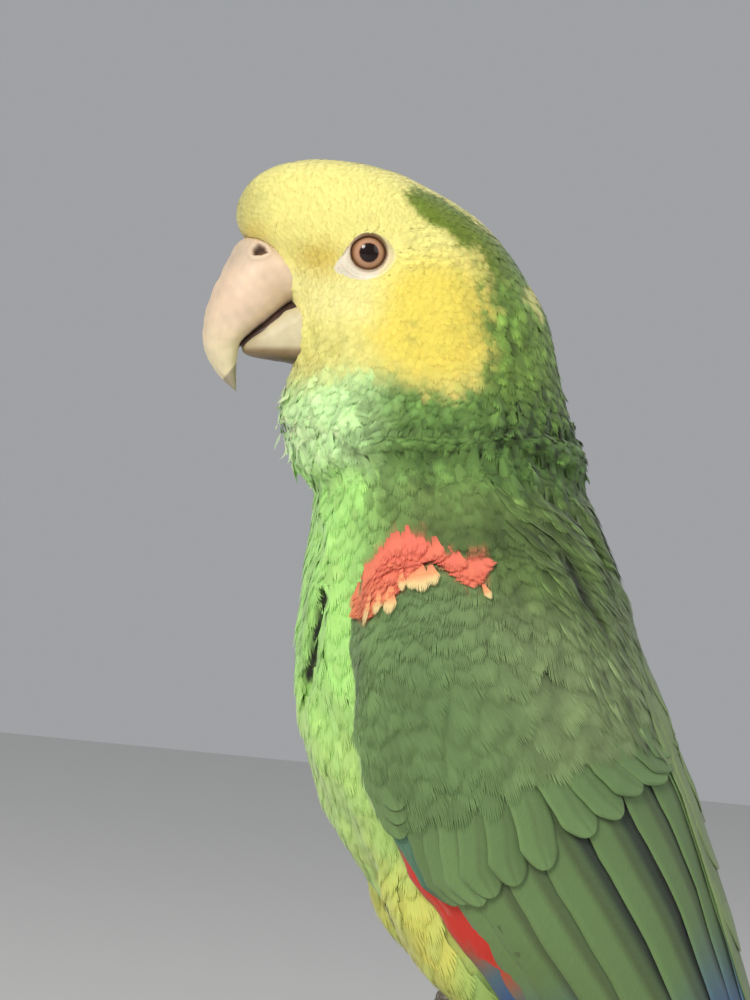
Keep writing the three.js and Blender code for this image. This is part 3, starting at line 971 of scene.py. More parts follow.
def on_strips(strips, across, along):
    """Values at each across and along, taken smoothly from each feather's strip."""
    steps = strips.shape[1]
    place = np.clip(along, 0, 1) * (steps - 1)
    low = np.minimum(place.astype(int), steps - 2)
    share = (place - low)[..., None]
    row = np.arange(len(strips))[:, None]
    near, far = strips[row, low], strips[row, low + 1]
    left, centre, right = np.moveaxis(near + (far - near) * share[..., None], 2, 0)
    a = across[..., None]
    return left * (a * (a - 1) / 2) + centre * (1 - a * a) + right * (a * (a + 1) / 2)


def unwrap(points):
    """A place on a flat map for each place on the skin: round the body, and down its length."""
    x, y, z = points.T
    centre_y = np.interp(z, [-230, -150, -60, -20, 22], [112, 56, 26, 15, -6])
    turn = np.arctan2(x, y - centre_y) / (2 * math.pi) + 0.5
    down = np.interp(z, [-310, -100, -30, 10, 22], [0.02, 0.45, 0.68, 0.86, 0.98])
    return np.stack([0.02 + 0.96 * turn, down], 1)


# How wide each feather's own patch is on the flat map that unwrap gives.
BAKE_PATCH = 0.003


def feather_piece(name, slot, feathers, shapes, heights, colours, paint, plume, rng,
                  blend=0.0, tilt=0.0, folded=False, thickness=0.0, nodes=()):
    """Lays a shape on each feather's strip and joins them in one piece.

    heights holds the feathers' depth at their roots, height at their tips, camber and their barbs'
    spread; tilt raises one edge of each and lowers the other; folded follows the coat's creases
    and paints their shade on it; blend turns the shading towards the skin's own.
    paint(colours, across, along, group, rng) gives every point's colour."""
    count = feathers.count
    kind = rng.integers(0, shapes["kinds"], count)
    across, along, lift = (shapes[key][kind] for key in ("across", "along", "lift"))
    root, tip, camber, spread = (np.reshape(part, (-1, 1)) for part in heights)
    rise = along**1.5
    height = -root * (1 - rise) + tip * rise
    height = height - camber * across**2 + spread * lift + tilt * across
    places = on_strips(feathers.strips, across, along)
    upright = unit(on_strips(feathers.normals, across, along))
    points = places + upright * height[..., None]
    tints = paint(colours, across, along, shapes["group"], rng)
    if folded:
        # Painted shade: feathers that lie in the coat's creases are darkened with the crease shade colour.
        depth, dark, _ = creased(points.reshape(-1, 3))
        points -= upright * (0.75 * depth.reshape(height.shape))[..., None]
        tints = mix(tints, CREASE_SHADOW, dark.reshape(height.shape)[..., None])
    vane = np.stack([across * feathers.halves[:, None], along * feathers.lengths[:, None]], -1)
    vane[..., 1] += rng.uniform(0, 400, (count, 1))
    bake = unwrap(feathers.strips[:, 0, 1])[:, None]
    bake = bake + BAKE_PATCH * np.stack([across / 2, along - 0.5], -1)
    offsets = (np.arange(count) * across.shape[1])[:, None, None]
    quads, tris = ((shapes[key] + offsets).reshape(-1, size) for key, size in (("quads", 4), ("tris", 3)))
    piece = mesh_object(
        name, points.reshape(-1, 3), quads, tris, plume,
        tints.reshape(-1, 3), {"vane": vane.reshape(-1, 2), "OFBake": bake.reshape(-1, 2)},
    )
    if blend:
        settle_normals(piece, upright.reshape(-1, 3), blend)
    if thickness:
        thicken(piece, thickness)
    return keep(piece, slot, *nodes)


def settle_normals(piece, upright, share):
    """Turns a piece's shading towards the skin's own, so that its feathers blend as plumage does."""
    count = len(piece.data.vertices)
    plain = np.empty(count * 3, np.float32)
    piece.data.vertex_normals.foreach_get("vector", plain)
    plain = plain.reshape(-1, 3)
    facing = np.where((plain * upright).sum(1, keepdims=True) < 0, -plain, plain)
    piece.data.normals_split_custom_set_from_vertices(unit(mix(facing, upright, share)))


def thicken(piece, thickness):
    """Gives a sheet its real thickness, under its outer face."""
    wall = piece.modifiers.new("thickness", "SOLIDIFY")
    wall.thickness = thickness / 1000
    wall.offset = -1


# Where a feather takes its colours from the bird's markings, along it and across it.
PAINT_STATIONS = np.array([0.3, 0.65, 1.0])
PAINT_SIDES = np.array([-0.8, 0.0, 0.8])


def soft_paint(base_shade, tip_light, barb_change):
    """Contour feathers: shaded at the root, a little lighter at the edge, barbs slightly unlike.

    The colours are each feather's own, at each paint station along it and each paint side across."""

    def paint(colours, across, along, group, rng):
        count = len(colours)
        barb = 1 + rng.normal(0, barb_change, (count, group.max() + 1))[:, group]
        edge = np.clip(np.sqrt(across**2 * 0.8 + np.clip(along - 0.25, 0, 1) ** 2 * 1.7), 0, 1)
        shade = mix(np.reshape(base_shade, (-1, 1)), 1.0, ease(along, 0.1, 0.8))
        light = 1 + np.reshape(tip_light, (-1, 1)) * ease(edge, 0.72, 1.0)
        step = np.interp(along, PAINT_STATIONS, [0, 1, 2])
        side = np.interp(across, PAINT_SIDES, [0, 1, 2])
        first, left, row = (step > 1).astype(int), (side > 1).astype(int), np.arange(count)[:, None]
        share = (side - left)[..., None]
        near, far = (
            mix(colours[row, station, left], colours[row, station, left + 1], share)
            for station in (first, first + 1)
        )
        own_colour = mix(near, far, (step - first)[..., None])
        return np.clip(own_colour * (barb * shade * light)[..., None], 0, 1)

    return paint


def station_colours(feathers, jitter, rng, colours_at=None):
    """The bird's colours at each paint station and paint side of each feather."""
    count = feathers.count
    across = np.tile(PAINT_SIDES, (count, 3))
    along = np.tile(np.repeat(PAINT_STATIONS, 3), (count, 1))
    shown = on_strips(feathers.strips, across, along)
    shown = shown + rng.normal(0, 1, (count, 1, 3)) * np.reshape(jitter, (-1, 1, 1))
    return (colours_at or markings)(shown.reshape(-1, 3)).reshape(count, 3, 3, 3)


def varied(colours, change, rng):
    """Colours of which each feather's are a little lighter or darker."""
    return colours * (1 + rng.normal(0, change, (len(colours), 1, 1, 1)))


# Where the head's feathers point away from, and which way the coat lies lower down.
BILL_ROOT = np.array([0, -21, -6])
DOWN_BODY = unit(np.array([0, 0.42, -0.91]))
DOWN_WING = unit(np.array([0, 0.57, -0.82]))
DOWN_NECK = unit(np.array([0, -0.55, -0.83]))
EYE_CENTRE = np.array([19.2, -EYE_FORWARD, 0])


def lie(points):
    """Which way the coat lies at each place: away from the bill on the head, then down the body."""
    x, y, z = points.T
    away = points - BILL_ROOT
    distance = np.linalg.norm(away, axis=1)
    body = ease(distance, 26, 62)[:, None]
    wing = (ease(np.abs(x), 34, 42) * ease(-z, 62, 75))[:, None]
    down = mix(DOWN_BODY, DOWN_WING, wing)
    flow = mix(unit(away), down, body)
    flow[:, 2] -= 0.25 * ease(-z, -2, 18) * (1 - body[:, 0])
    slant = ease(-z, 22, 32) * (1 - ease(-z, 40, 46)) * (1 - ease(y, 30, 42))
    flow = mix(flow, DOWN_NECK, 0.8 * slant[:, None])
    side = np.stack([np.sign(x), np.ones_like(x), np.ones_like(x)], 1)
    eye = points - EYE_CENTRE * side
    near = hump(np.linalg.norm(eye, axis=1), 0, 7.5)[:, None]
    return unit(flow + 1.1 * near * unit(eye))


# The naked skin's outline: the turn in degrees and how far it reaches from the eye's centre.
ALMOND = [
    [-180, 5.5], [-168, 6.1], [-158, 7.6], [-148, 9.0], [-140, 8.9], [-130, 8.0], [-105, 7.0],
    [-75, 6.3], [-37, 6.2], [-3, 6.4], [26, 5.5], [54, 4.85], [91, 4.5], [135, 4.65], [163, 4.85],
    [180, 5.5],
]


def almond(turn):
    """How far the naked skin reaches from the eye's centre, by the turn from straight back."""
    angles, reach = np.array(ALMOND).T
    return np.interp(np.degrees(turn), angles, reach)


def bare_eye(points, margin=0.0):
    """True where the naked skin round the eye shows."""
    y, z = points[:, 1] + EYE_FORWARD, points[:, 2]
    return (np.hypot(y, z) < almond(np.arctan2(z, y)) + margin) & (np.abs(points[:, 0]) > 9)


def coat_spacing(p):
    """How far apart feathers stand at each place."""
    x, y, z = p.T
    bill = np.linalg.norm(p - [0, -24, -9], axis=1) - 12
    eye = np.hypot(y + EYE_FORWARD, z) - 7
    face = 0.72 + 0.36 * ease(np.minimum(bill, eye), 0, 16)
    nape = mix(face, 1.9, ease(y, 22, 38))
    neck = mix(nape, 2.0, ease(-z, 22, 46))
    body = mix(neck, 2.8, ease(-z, 52, 84))
    low = mix(body, 3.8, ease(-z, 130, 190))
    rump = ease(y + 0.7 * (z + 150), 62, 72) * ease(-z, 105, 125)
    return mix(low, 2.3, rump * (1 - ease(np.abs(x), 13, 17)))


# How many places are tried for each that fits.
CROWD = 4.0


def evenly(spacing):
    """The same spacing everywhere."""
    return lambda p: np.full(len(p), spacing)


def scatter(surface, spacing_at, allowed, rng):
    """Random places on the surface that keep their distance from each other.

    spacing_at gives that distance at each place; allowed is True where there may be one."""
    centres = surface.points[surface.tris].mean(1)
    spacing = spacing_at(centres)
    weight = surface.areas / spacing**2 * allowed(centres)
    count = int(weight.sum() * CROWD)
    faces = rng.choice(len(weight), count, p=weight / weight.sum())
    corners = surface.points[surface.tris[faces]]
    share = rng.random((count, 2))
    flip = share.sum(1) > 1
    share[flip] = 1 - share[flip]
    steps = corners[:, 1:] - corners[:, :1]
    places = corners[:, 0] + (steps * share[..., None]).sum(1)
    apart = spacing_at(places)
    tree = KDTree(count)
    for k, place in enumerate(places.tolist()):
        tree.insert(place, k)
    tree.balance()
    alive = np.ones(count, bool)
    for k, place in enumerate(places.tolist()):
        if alive[k]:
            for _, other, _ in tree.find_range(place, apart[k]):
                if other > k:
                    alive[other] = False
    return places[alive]


def lifted(p, rng):
    """How far feather tips stand off the coat: most along the hood's lower edge and the throat."""
    _, y, z = p.T
    above = above_hood(p)
    hood = hump(above, 2.5, 2.6) + 0.6 * hump(above, 9, 2.5)
    throat = ease(-y, -3, 8) * ease(-z, 31, 36) * (1 - ease(-z, 52, 56))
    nape = ease(y, 28, 42) * ease(-z, 18, 28) * (1 - ease(-z, 46, 52))
    loose = rng.uniform(0.1, 1.0, len(p)) ** 2
    return 0.1 + loose * (0.35 * hood + 0.4 * throat + 0.6 * nape) + rng.uniform(0, 0.08, len(p))


def coat_piece(name, slot, surface, roots, shapes, plume, look, rng):
    """One region of the coat: a feather on every root, laid along the body's own flow."""
    count = len(roots)
    spacing = coat_spacing(roots)
    lengths = spacing * look["long"] * rng.uniform(0.86, 1.14, count)
    halves = spacing * look["wide"] * rng.uniform(0.9, 1.12, count)
    heading = unit(lie(roots) + unit(rng.normal(size=(count, 3))) * look["stray"])
    above = above_hood(roots)
    hung = (above > 3) & (name != "collar_coat")
    lengths = lengths * np.where(hung, mix(0.56, 1.0, ease(above, 4, 13)), 1.0)
    feathers = run_over(surface, roots, heading, halves, lengths, lie, look["steps"])
    share = clear_share(feathers, lambda p: bare_eye(p) | on_slit(p, 0.4))
    stays = share > 0.3
    feathers, spacing = feathers.only(stays).cut(share[stays]), spacing[stays]
    shown = feathers.middle_line([0.72])[:, 0]
    colours = varied(station_colours(feathers, 0.45 * spacing, rng), look["uneven"], rng)
    colours = colours * (1 + rng.normal(0, look["uneven"] * 0.35, (feathers.count, 1, 1, 3)))
    loose = mix(0.3, 1.0, ruffle(shown)) if look["ruffled"] else LOOSE
    heights = (
        np.minimum(0.35 * spacing + 0.25, 1.6) * look["deep"],
        lifted(shown, rng) * look["lift"] * loose,
        feathers.halves * look["camber"] * rng.uniform(0.6, 1.3, feathers.count),
        look["spread"] * spacing,
    )
    paint = soft_paint(1 - (1 - look["root shade"]) * loose, look["edge"] * loose, look["barb change"])
    return feather_piece(
        name, slot, feathers, shapes, heights, colours, paint, plume, rng,
        look["blend"], folded=slot == "body_feathers",
    )


def ruffle(p):
    """Where the neck's feathers stand apart: its throat and nape more than its sides."""
    front = 0.6 - 0.6 * ease(p[:, 1], -6, 6)
    rear = ease(p[:, 1], 24, 38)
    return np.maximum(front, rear)


# How the coat lies in each region. Feathers' lengths and widths are told in spacings; steps is how
# many each strip has; uneven and barb change vary the colours; root shade and edge are for
# soft_paint; blend is for feather_piece; a ruffled coat stands apart on the throat and nape only.
LOOK_NAMES = ("long", "wide", "stray", "steps", "uneven", "deep", "lift", "camber", "spread",
              "root shade", "edge", "barb change", "blend", "ruffled")
LOOSE = 0.999
COAT_LOOKS = {
    region: dict(zip(LOOK_NAMES, values)) for region, *values in (
        ("face", 4.2, 1.3, 0.12, 4, 0.025, 0.4, 0.45, 0.06, 0.01, 0.97, 0.0, 0.012, 0.8, False),
        ("crown", 3.8, 1.2, 0.14, 4, 0.05, 0.5, 0.7, 0.08, 0.012, 0.88, 0.1, 0.015, 0.65, False),
        ("neck", 4.2, 1.15, 0.12, 4, 0.04, 0.6, 0.8, 0.1, 0.01, 0.92, 0.1, 0.02, 0.9, True),
        ("body", 4.6, 1.2, 0.14, 5, 0.045, 0.6, 0.7, 0.07, 0.006, 0.88, 0.05, 0.025, 0.75, False),
    )
}

# The folded left wing: its front edge seen from the side, y and z, and its back edge seen from
# behind, x and z, both from shoulder to tip.
WING_FRONT = [[12, -66], [5.5, -76], [4.5, -90], [8.5, -116], [17, -132], [34, -152], [60, -178],
              [88, -207], [121, -240], [146, -261]]
WING_BACK = [[22, -60], [20, -65], [17, -74], [14, -86], [11.5, -104], [10, -130], [9.5, -165],
             [8.5, -200], [7, -232], [5, -260]]
SHEET_ROWS = 91
SHEET_COLUMNS = 17
SHEET_RISE = 0.7
SHEET_MARGIN = 4


class Wing:
    """The folded left wing as a smooth sheet over the body.

    A place on it is told by across, from its front edge to its back, and down, from shoulder to tip."""

    def __init__(self, body):
        front = smooth_curve(WING_FRONT, SHEET_ROWS)
        back = smooth_curve(WING_BACK, SHEET_ROWS)
        near, near_normals = (part[:, None] for part in body.seen_from(0, *front.T))
        far, far_normals = (part[:, None] for part in body.seen_from(1, *back.T))
        share = np.linspace(0, 1, SHEET_COLUMNS)[:, None]
        out = unit(mix(near_normals, far_normals, share))
        bulge = 1.3 * np.linalg.norm(far - near, axis=-1, keepdims=True) * share * (1 - share)
        grid = mix(near, far, share) + out * bulge
        for rounds in (14, 3):
            grid, _ = body.drop(grid)
            for _ in range(rounds):
                wide = np.pad(grid, ((1, 1), (1, 1), (0, 0)), "reflect", reflect_type="odd")
                around = wide[:-2, 1:-1] + wide[2:, 1:-1] + wide[1:-1, :-2] + wide[1:-1, 2:]
                grid = 0.5 * grid + 0.125 * around
        for _ in range(3):
            places, ways = body.drop(grid)
            sunk = np.clip(0.2 - ((grid - places) * ways).sum(-1, keepdims=True), 0, None)
            grid = grid + sunk * ways
        upright = unit(np.cross(np.gradient(grid, axis=0), np.gradient(grid, axis=1)))
        upright *= np.sign((upright * out).sum(-1).mean())
        raised = ease(np.linspace(0, 1, SHEET_ROWS), 0, 0.1)[:, None, None]
        self.grid = grid + SHEET_RISE * raised * upright
        self.core = self.sheet(self.grid)
        margin = ((SHEET_MARGIN, SHEET_MARGIN), (SHEET_MARGIN, SHEET_MARGIN), (0, 0))
        self.wide = self.sheet(np.pad(self.grid, margin, "reflect", reflect_type="odd"))

    @staticmethod
    def sheet(grid):
        quads = grid_quads(*grid.shape[:2])
        tris = np.concatenate([quads[:, [0, 1, 2]], quads[:, [0, 2, 3]]])
        surface = Surface(grid.reshape(-1, 3), tris)
        if surface.normals[:, 0].mean() < 0:
            surface = Surface(grid.reshape(-1, 3), tris[:, ::-1])
        return surface

    def place(self, across, down):
        """Places on the sheet."""
        rows, columns = self.grid.shape[:2]
        row = np.clip(down, 0, 1) * (rows - 1)
        column = np.clip(across, 0, 1) * (columns - 1)
        r, c = np.minimum(row.astype(int), rows - 2), np.minimum(column.astype(int), columns - 2)
        row_share, column_share = (row - r)[..., None], (column - c)[..., None]
        upper = mix(self.grid[r, c], self.grid[r, c + 1], column_share)
        return mix(upper, mix(self.grid[r + 1, c], self.grid[r + 1, c + 1], column_share), row_share)

    def run_down(self, across, down, lengths, steps):
        """How far down each step of feathers of the given lengths lies."""
        fine = down[:, None] + np.linspace(0, 0.4, 41)
        line = self.place(np.repeat(across[:, None], 41, 1), fine)
        run = np.cumsum(np.linalg.norm(np.diff(line, axis=1), axis=2), 1)
        run = np.pad(run, ((0, 0), (1, 0)))
        wanted = lengths[:, None] * np.linspace(0, 1, steps)
        return np.stack([np.interp(*each) for each in zip(wanted, run, fine)])

    def locate(self, points):
        """How far each place, on either side, is from the sheet, and how far down it lies."""
        find = self.core.tree.find_nearest
        found = [find((abs(x), y, z))[2:] for x, y, z in points.tolist()]
        face, gap = np.array(found).T
        quads = (SHEET_ROWS - 1) * (SHEET_COLUMNS - 1)
        return gap, (face % quads) // (SHEET_COLUMNS - 1) / (SHEET_ROWS - 2)

    def lay(self, across, down, halves, lengths=None, stiff=False):
        """The feathers whose middle lines are given on the sheet.

        A stiff feather keeps to one smooth bend from its root to its tip."""
        line = self.place(across, down)
        if stiff:
            share = np.linspace(0, 1, line.shape[1])[:, None]
            root, halfway, tip = line[:, :1], line[:, line.shape[1] // 2, None], line[:, -1:]
            line = root * (1 - share) * (1 - 2 * share) + tip * share * (2 * share - 1)
            line = line + 4 * halfway * share * (1 - share)
        line, normals = self.wide.drop(line)
        sideways = unit(np.cross(unit(np.gradient(line, axis=1)), normals)) * halves[:, None, None]
        edges, edge_normals = self.wide.drop(np.stack([line - sideways, line + sideways], 2))
        strips = np.stack([edges[:, :, 0], line, edges[:, :, 1]], 2)
        normals = np.stack([edge_normals[:, :, 0], normals, edge_normals[:, :, 1]], 2)
        if lengths is None:
            lengths = np.linalg.norm(np.diff(line, axis=1), axis=2).sum(1)
        return Feathers(strips, normals, halves, lengths)


# Colours of the wing's and tail's long feathers.
FLIGHT_BLUE = tone(52, 82, 150)
FLIGHT_BLACK = tone(34, 36, 42)
SPECULUM_RED = tone(214, 52, 38)
COVERT_GREEN = tone(106, 134, 82)
COVERT_BLUE = tone(82, 126, 98)
COVERT_GREY = tone(126, 146, 96)
TAIL_GREEN = tone(104, 152, 66)
TAIL_BAND = tone(206, 216, 96)
SHAFT_DARK = tone(56, 48, 38)


def vane_paint(base, end, end_start, inner, red, shaft, side):
    """Long feathers: an outer vane from one colour to another, a dark inner vane and a dark shaft."""

    def paint(colours, across, along, group, rng):
        count = len(across)
        outward_side = across * side
        share = ease(along + rng.normal(0, 0.03, (count, 1)), end_start, min(end_start + 0.3, 1.0))
        outer = mix(np.asarray(base) * np.ones((count, 1, 3)), np.asarray(end), share[..., None])
        bar = red[:, None] * ease(along, 0.3, 0.4) * (1 - ease(along, 0.66, 0.8))
        bar = bar * ease(outward_side, -0.35, -0.1)
        outer = mix(outer, SPECULUM_RED, bar[..., None])
        hidden = ease(-outward_side, 0.1, 0.4) * 0.85
        colour = mix(outer, np.asarray(inner), hidden[..., None])
        rim = ease(np.abs(across), 0.86, 1.0) * 0.25
        colour = colour * (1 + rim[..., None])
        middle_line = hump(across, 0, 0.06)[..., None]
        colour = mix(colour, SHAFT_DARK, middle_line * shaft)
        uneven = 1 + rng.normal(0, 0.06, (count, 1, 1))
        return np.clip(colour * uneven * mix(0.72, 1.0, ease(along, 0.05, 0.5))[..., None], 0, 1)

    return paint


WING_ROWS = [
    # name, count, root (across, down) from and to, tip from and to, half width, height from and to
    ("primaries", 10, (0.03, 0.42), (0.34, 0.40), (0.12, 0.93), (0.66, 0.74), 6.2, -2.2, -1.6),
    ("inner_primaries", 6, (0.5, 0.5), (0.93, 0.45), (0.58, 0.99), (0.96, 0.965), 5.5, -1.4, -0.8),
    ("secondaries", 10, (0.10, 0.37), (0.66, 0.31), (0.12, 0.66), (0.80, 0.73), 7.6, -1.1, -0.3),
    ("tertials", 4, (0.72, 0.30), (0.93, 0.22), (0.80, 0.68), (0.97, 0.54), 7.0, 0.4, 0.5),
    ("primary_coverts", 8, (0.03, 0.36), (0.18, 0.36), (0.05, 0.54), (0.21, 0.53), 3.9, -1.1, -1.1),
    ("greater_coverts", 16, (0.12, 0.36), (0.93, 0.28), (0.14, 0.53), (0.97, 0.45), 4.6, 0.3, 0.7),
    ("alula", 3, (0.02, 0.32), (0.07, 0.32), (0.02, 0.46), (0.08, 0.43), 3.4, 0.5, 0.6),
]
# Where each primary ends: across and down.
PRIMARY_TIPS = [(0.12, 0.93), (0.18, 0.97), (0.3, 1.0), (0.42, 0.985), (0.5, 0.95), (0.55, 0.905),
                (0.6, 0.865), (0.63, 0.825), (0.66, 0.785), (0.68, 0.745)]
COVERT_ROWS = 17
# How far each long feather's one edge is raised and the other lowered, so that it lies over the next.
SHINGLE = 0.5


def wing_row_colours(name, count, side):
    """How the feathers of each of the wing's rows are painted."""
    blank = np.zeros(count)
    if name == "primaries":
        return vane_paint(FLIGHT_BLUE, FLIGHT_BLACK * 1.6, 0.6, FLIGHT_BLACK, blank, 0.7, side)
    if name == "inner_primaries":
        return vane_paint(FLIGHT_BLACK * 1.7, FLIGHT_BLACK * 1.3, 0.5, FLIGHT_BLACK, blank, 0.3, side)
    if name == "secondaries":
        red = (np.arange(count) < 2).astype(float)
        return vane_paint(COVERT_GREEN, FLIGHT_BLUE, 0.66, FLIGHT_BLACK, red, 0.5, side)
    if name == "primary_coverts":
        return vane_paint(COVERT_BLUE, COVERT_BLUE * 0.8, 0.6, WING_GREEN * 0.6, blank, 0.3, side)
    base = COVERT_GREY * 0.9 if name == "tertials" else COVERT_GREEN
    return vane_paint(base, base * 1.08, 0.7, base * 0.8, blank, 0.22, side)


def wing_rows(wing, plume, rng):
    """Flight feathers and the rows of coverts over them, each over the one in front of it."""
    for name, count, root_a, root_b, tip_a, tip_b, half, low, high in WING_ROWS:
        share = np.linspace(0, 1, count)[:, None]
        roots = mix(np.array([root_a]), np.array([root_b]), share)
        tips = mix(np.array([tip_a]), np.array([tip_b]), share)
        if name == "primaries":
            tips = np.array(PRIMARY_TIPS)
        if name == "secondaries":
            tips[:, 1] += 0.05 * np.sin(math.pi * share[:, 0])
        tips = tips + rng.normal(0, 0.004, tips.shape)
        halves = half * rng.uniform(0.95, 1.05, count)
        long = name in ("primaries", "inner_primaries", "secondaries", "tertials")
        along = np.linspace(0, 1, 17 if long else 8)
        lines = mix(roots[:, None], tips[:, None], along[:, None])
        feathers = wing.lay(lines[..., 0], lines[..., 1], halves, stiff=long)
        shapes = vane_shape(30, 9, 0.13 if name == "secondaries" else 0.2, 5)
        level = mix(low, high, share[:, 0])
        heights = (0.3 - level if long else 0.9, level, 0.03 * halves, 0.12)
        for side, sign, laid in feathers.both_sides():
            feather_piece(
                f"{name}_{side}", "flight_feathers" if long else "wing_feathers", laid, shapes, heights,
                None, wing_row_colours(name, count, sign), plume, rng,
                tilt=SHINGLE * sign, thickness=0.14,
            )


def covert_rows(wing, plume, rng):
    """Rows of small round feathers over the shoulder, larger from each row to the next."""
    across, down, halves, lengths = [], [], [], []
    for row in range(COVERT_ROWS):
        share = row / (COVERT_ROWS - 1)
        place = 0.365 - 0.275 * share**0.9
        half = mix(4.0, 2.0, share)
        length = mix(17.0, 8.5, share)
        edge = wing.place(np.linspace(0, 1, 40), np.full(40, place))
        wide = np.linalg.norm(np.diff(edge, axis=0), axis=1).sum()
        count = int(wide / (0.72 * half))
        even = (np.arange(count) + 0.5 * (row % 2) + 0.25) / count
        across.append(np.clip(even + rng.normal(0, 0.15 / count, count), 0, 1))
        down.append(place + rng.normal(0, 0.006, count))
        halves.append(half * rng.uniform(0.9, 1.1, count))
        lengths.append(length * rng.uniform(0.88, 1.1, count))
    across, down, halves, lengths = (np.concatenate(part) for part in (across, down, halves, lengths))
    line_down = wing.run_down(across, np.maximum(down, 0), lengths, 5)
    feathers = wing.lay(np.repeat(across[:, None], 5, 1), line_down, halves, lengths)
    shown = wing.place(across, line_down[:, 3])
    clear = inside_by(shown, RED_EDGE) < 1.0
    feathers, shown = feathers.only(clear), shown[clear]
    shapes = contour_shapes(15, 12, 0.05, 15)
    # Painted shade at the coverts' roots, and their lighter tips, grow stronger towards the back.
    shade_contrast = ease(shown[:, 1] + 0.4 * shown[:, 2], -12, 12)
    deep_root = mix(1.5, 0.6, ease(down[clear], 0.1, 0.16))
    for side, _, laid in feathers.both_sides():
        colours = varied(station_colours(laid, 0.3, rng, covert_colours), 0.06, rng)
        heights = (deep_root, 0.5 + rng.uniform(0, 0.1, laid.count), 0.05 * laid.halves, 0.03)
        feather_piece(
            f"coverts_{side}", "wing_feathers", laid, shapes, heights, colours,
            soft_paint(mix(0.84, 0.5, shade_contrast), mix(0.1, 0.32, shade_contrast), 0.025), plume, rng, 0.65,
            folded=True,
        )


def covert_colours(p):
    """Bluish green that turns yellower towards the back, and lighter along the wing's front edge."""
    _, y, z = p.T
    back = ease(y + 0.5 * z, -30, 10)
    colour = washed(COVERT_GREEN, (COVERT_GREY, back), (COVERT_GREEN * 1.35, 0.6 * hump(y, 7, 3.5)))
    colour = colour * (1 + 0.1 * ripple(p, 9, 71) + 0.06 * ripple(p, 4, 72))[:, None]
    colour = colour * (1 + 0.3 * back * ripple(drawn_out(p), 2.6, 18))[:, None]
    return washed(colour, (markings(p, 0.0), ease(z + 0.3 * (y - 30), -84, -66)),
                  (SHOULDER_RED, ease(inside_by(p, RED_EDGE), 0.4, 1.0)))


SHOULDER_SPACING = 1.0
# Pale tips along the red patch's lower edge: y and z of each tip, its length and half width.
PALE_TIPS = [(6.8, -87.2, 8, 0.8), (8.8, -84.4, 6, 1.1), (11.3, -82.9, 7, 1.4), (13.4, -77.7, 6, 0.8),
             (15.4, -77.0, 6, 1.3), (17.6, -76.9, 8, 2.0), (19.8, -75.6, 6, 1.4), (31.0, -77.0, 4, 0.8)]


def red_paint(colours, across, along, group, rng):
    """Plain red, a little darker at the root."""
    return np.clip(colours[:, None] * mix(0.85, 1.0, ease(along, 0.1, 0.5))[..., None], 0, 1)


def pale_paint(colours, across, along, group, rng):
    """Red at the root, then orange, then streaky cream."""
    pale = mix(EDGE_ORANGE, EDGE_CREAM, ease(along, 0.3, 0.8)[..., None])
    pale = pale * (1 - 0.12 * np.abs(np.sin(across * 5 + group[None])))[..., None]
    return np.clip(mix(colours[:, None], pale, ease(along, 0.1, 0.5)[..., None]), 0, 1)


def shoulder_patch(surface, wing, plume, rng):
    """Narrow red feathers on the bend of the wing; those along its lower edge have cream tips."""
    grown = lambda p: (
        (inside_by(p - [0, 0, 0.8], RED_EDGE) > np.interp(p[:, 1], [24, 28], [-0.2, 1.0]))
        & (p[:, 0] > 22)
    )
    roots = scatter(surface, evenly(SHOULDER_SPACING), grown, rng)
    tip_y, tip_z, long, wide = np.array(PALE_TIPS).T
    climb = np.interp(tip_y, [8, 14], [0.95, 0.5])
    high, _ = surface.seen_from(0, tip_y - 0.2 * long * (1 - climb), tip_z + climb * long)
    roots = np.concatenate([roots, high])
    count, pale_from = len(roots), len(roots) - len(high)
    back = np.interp(roots[:, 1], [4, 32], [0.2, 0.55])
    heading = unit(np.stack([np.zeros(count), back, -np.ones(count)], 1))
    lengths = rng.uniform(6.0, 8.0, count)
    halves = rng.uniform(1.2, 1.7, count)
    lengths[pale_from:], halves[pale_from:] = long * 1.05, wide * 1.3
    feathers = run_over(wing.wide, roots, heading, halves, lengths, None, 5)
    stations = np.linspace(0, 1, 13)
    line = feathers.middle_line(stations).reshape(-1, 3)
    red = (inside_by(line, RED_EDGE) > -0.4).reshape(count, 13)
    pale = np.arange(count) >= pale_from
    share = np.where(pale, 1.0, stations[12 - red[:, ::-1].argmax(1)])
    stays = (red.sum(1) > 2) | pale
    feathers, pale = feathers.only(stays).cut(share[stays]), pale[stays]
    low = ease(-feathers.strips[:, -1, 1, 2], 75, 87)[:, None]
    reds = mix(SHOULDER_RED, EDGE_ORANGE, rng.uniform(0, 0.22, (feathers.count, 1)) + 0.45 * low)
    level = 1.2 + rng.uniform(0, 0.12, feathers.count)
    kinds = [
        ("shoulder_patch", contour_shapes(9, 8, 0.03, 8), ~pale, red_paint, 0.7, 0.0),
        ("shoulder_edge", contour_shapes(15, 6, 0.02, 6), pale, pale_paint, -0.7, 0.25),
    ]
    for side, _, laid in feathers.both_sides():
        for name, shapes, chosen, paint, root, raised in kinds:
            some = laid.only(chosen)
            heights = (root, level[chosen] + raised, 0.08 * some.halves, 0.04)
            feather_piece(
                f"{name}_{side}", "wing_feathers", some, shapes, heights, reds[chosen],
                paint, plume, rng, 0.85,
            )


# Where the long feathers of the shoulder grow, seen from the side: on the wing, and above it.
SCAPULAR_EDGE = [[33, -56], [50, -50], [60, -62], [68, -79], [75, -99], [66, -98], [54, -84], [42, -70]]
MANTLE_EDGE = [[33, -51], [44, -47.5], [56, -48], [64, -55], [70, -66], [60, -62], [44, -57.5], [34, -56]]


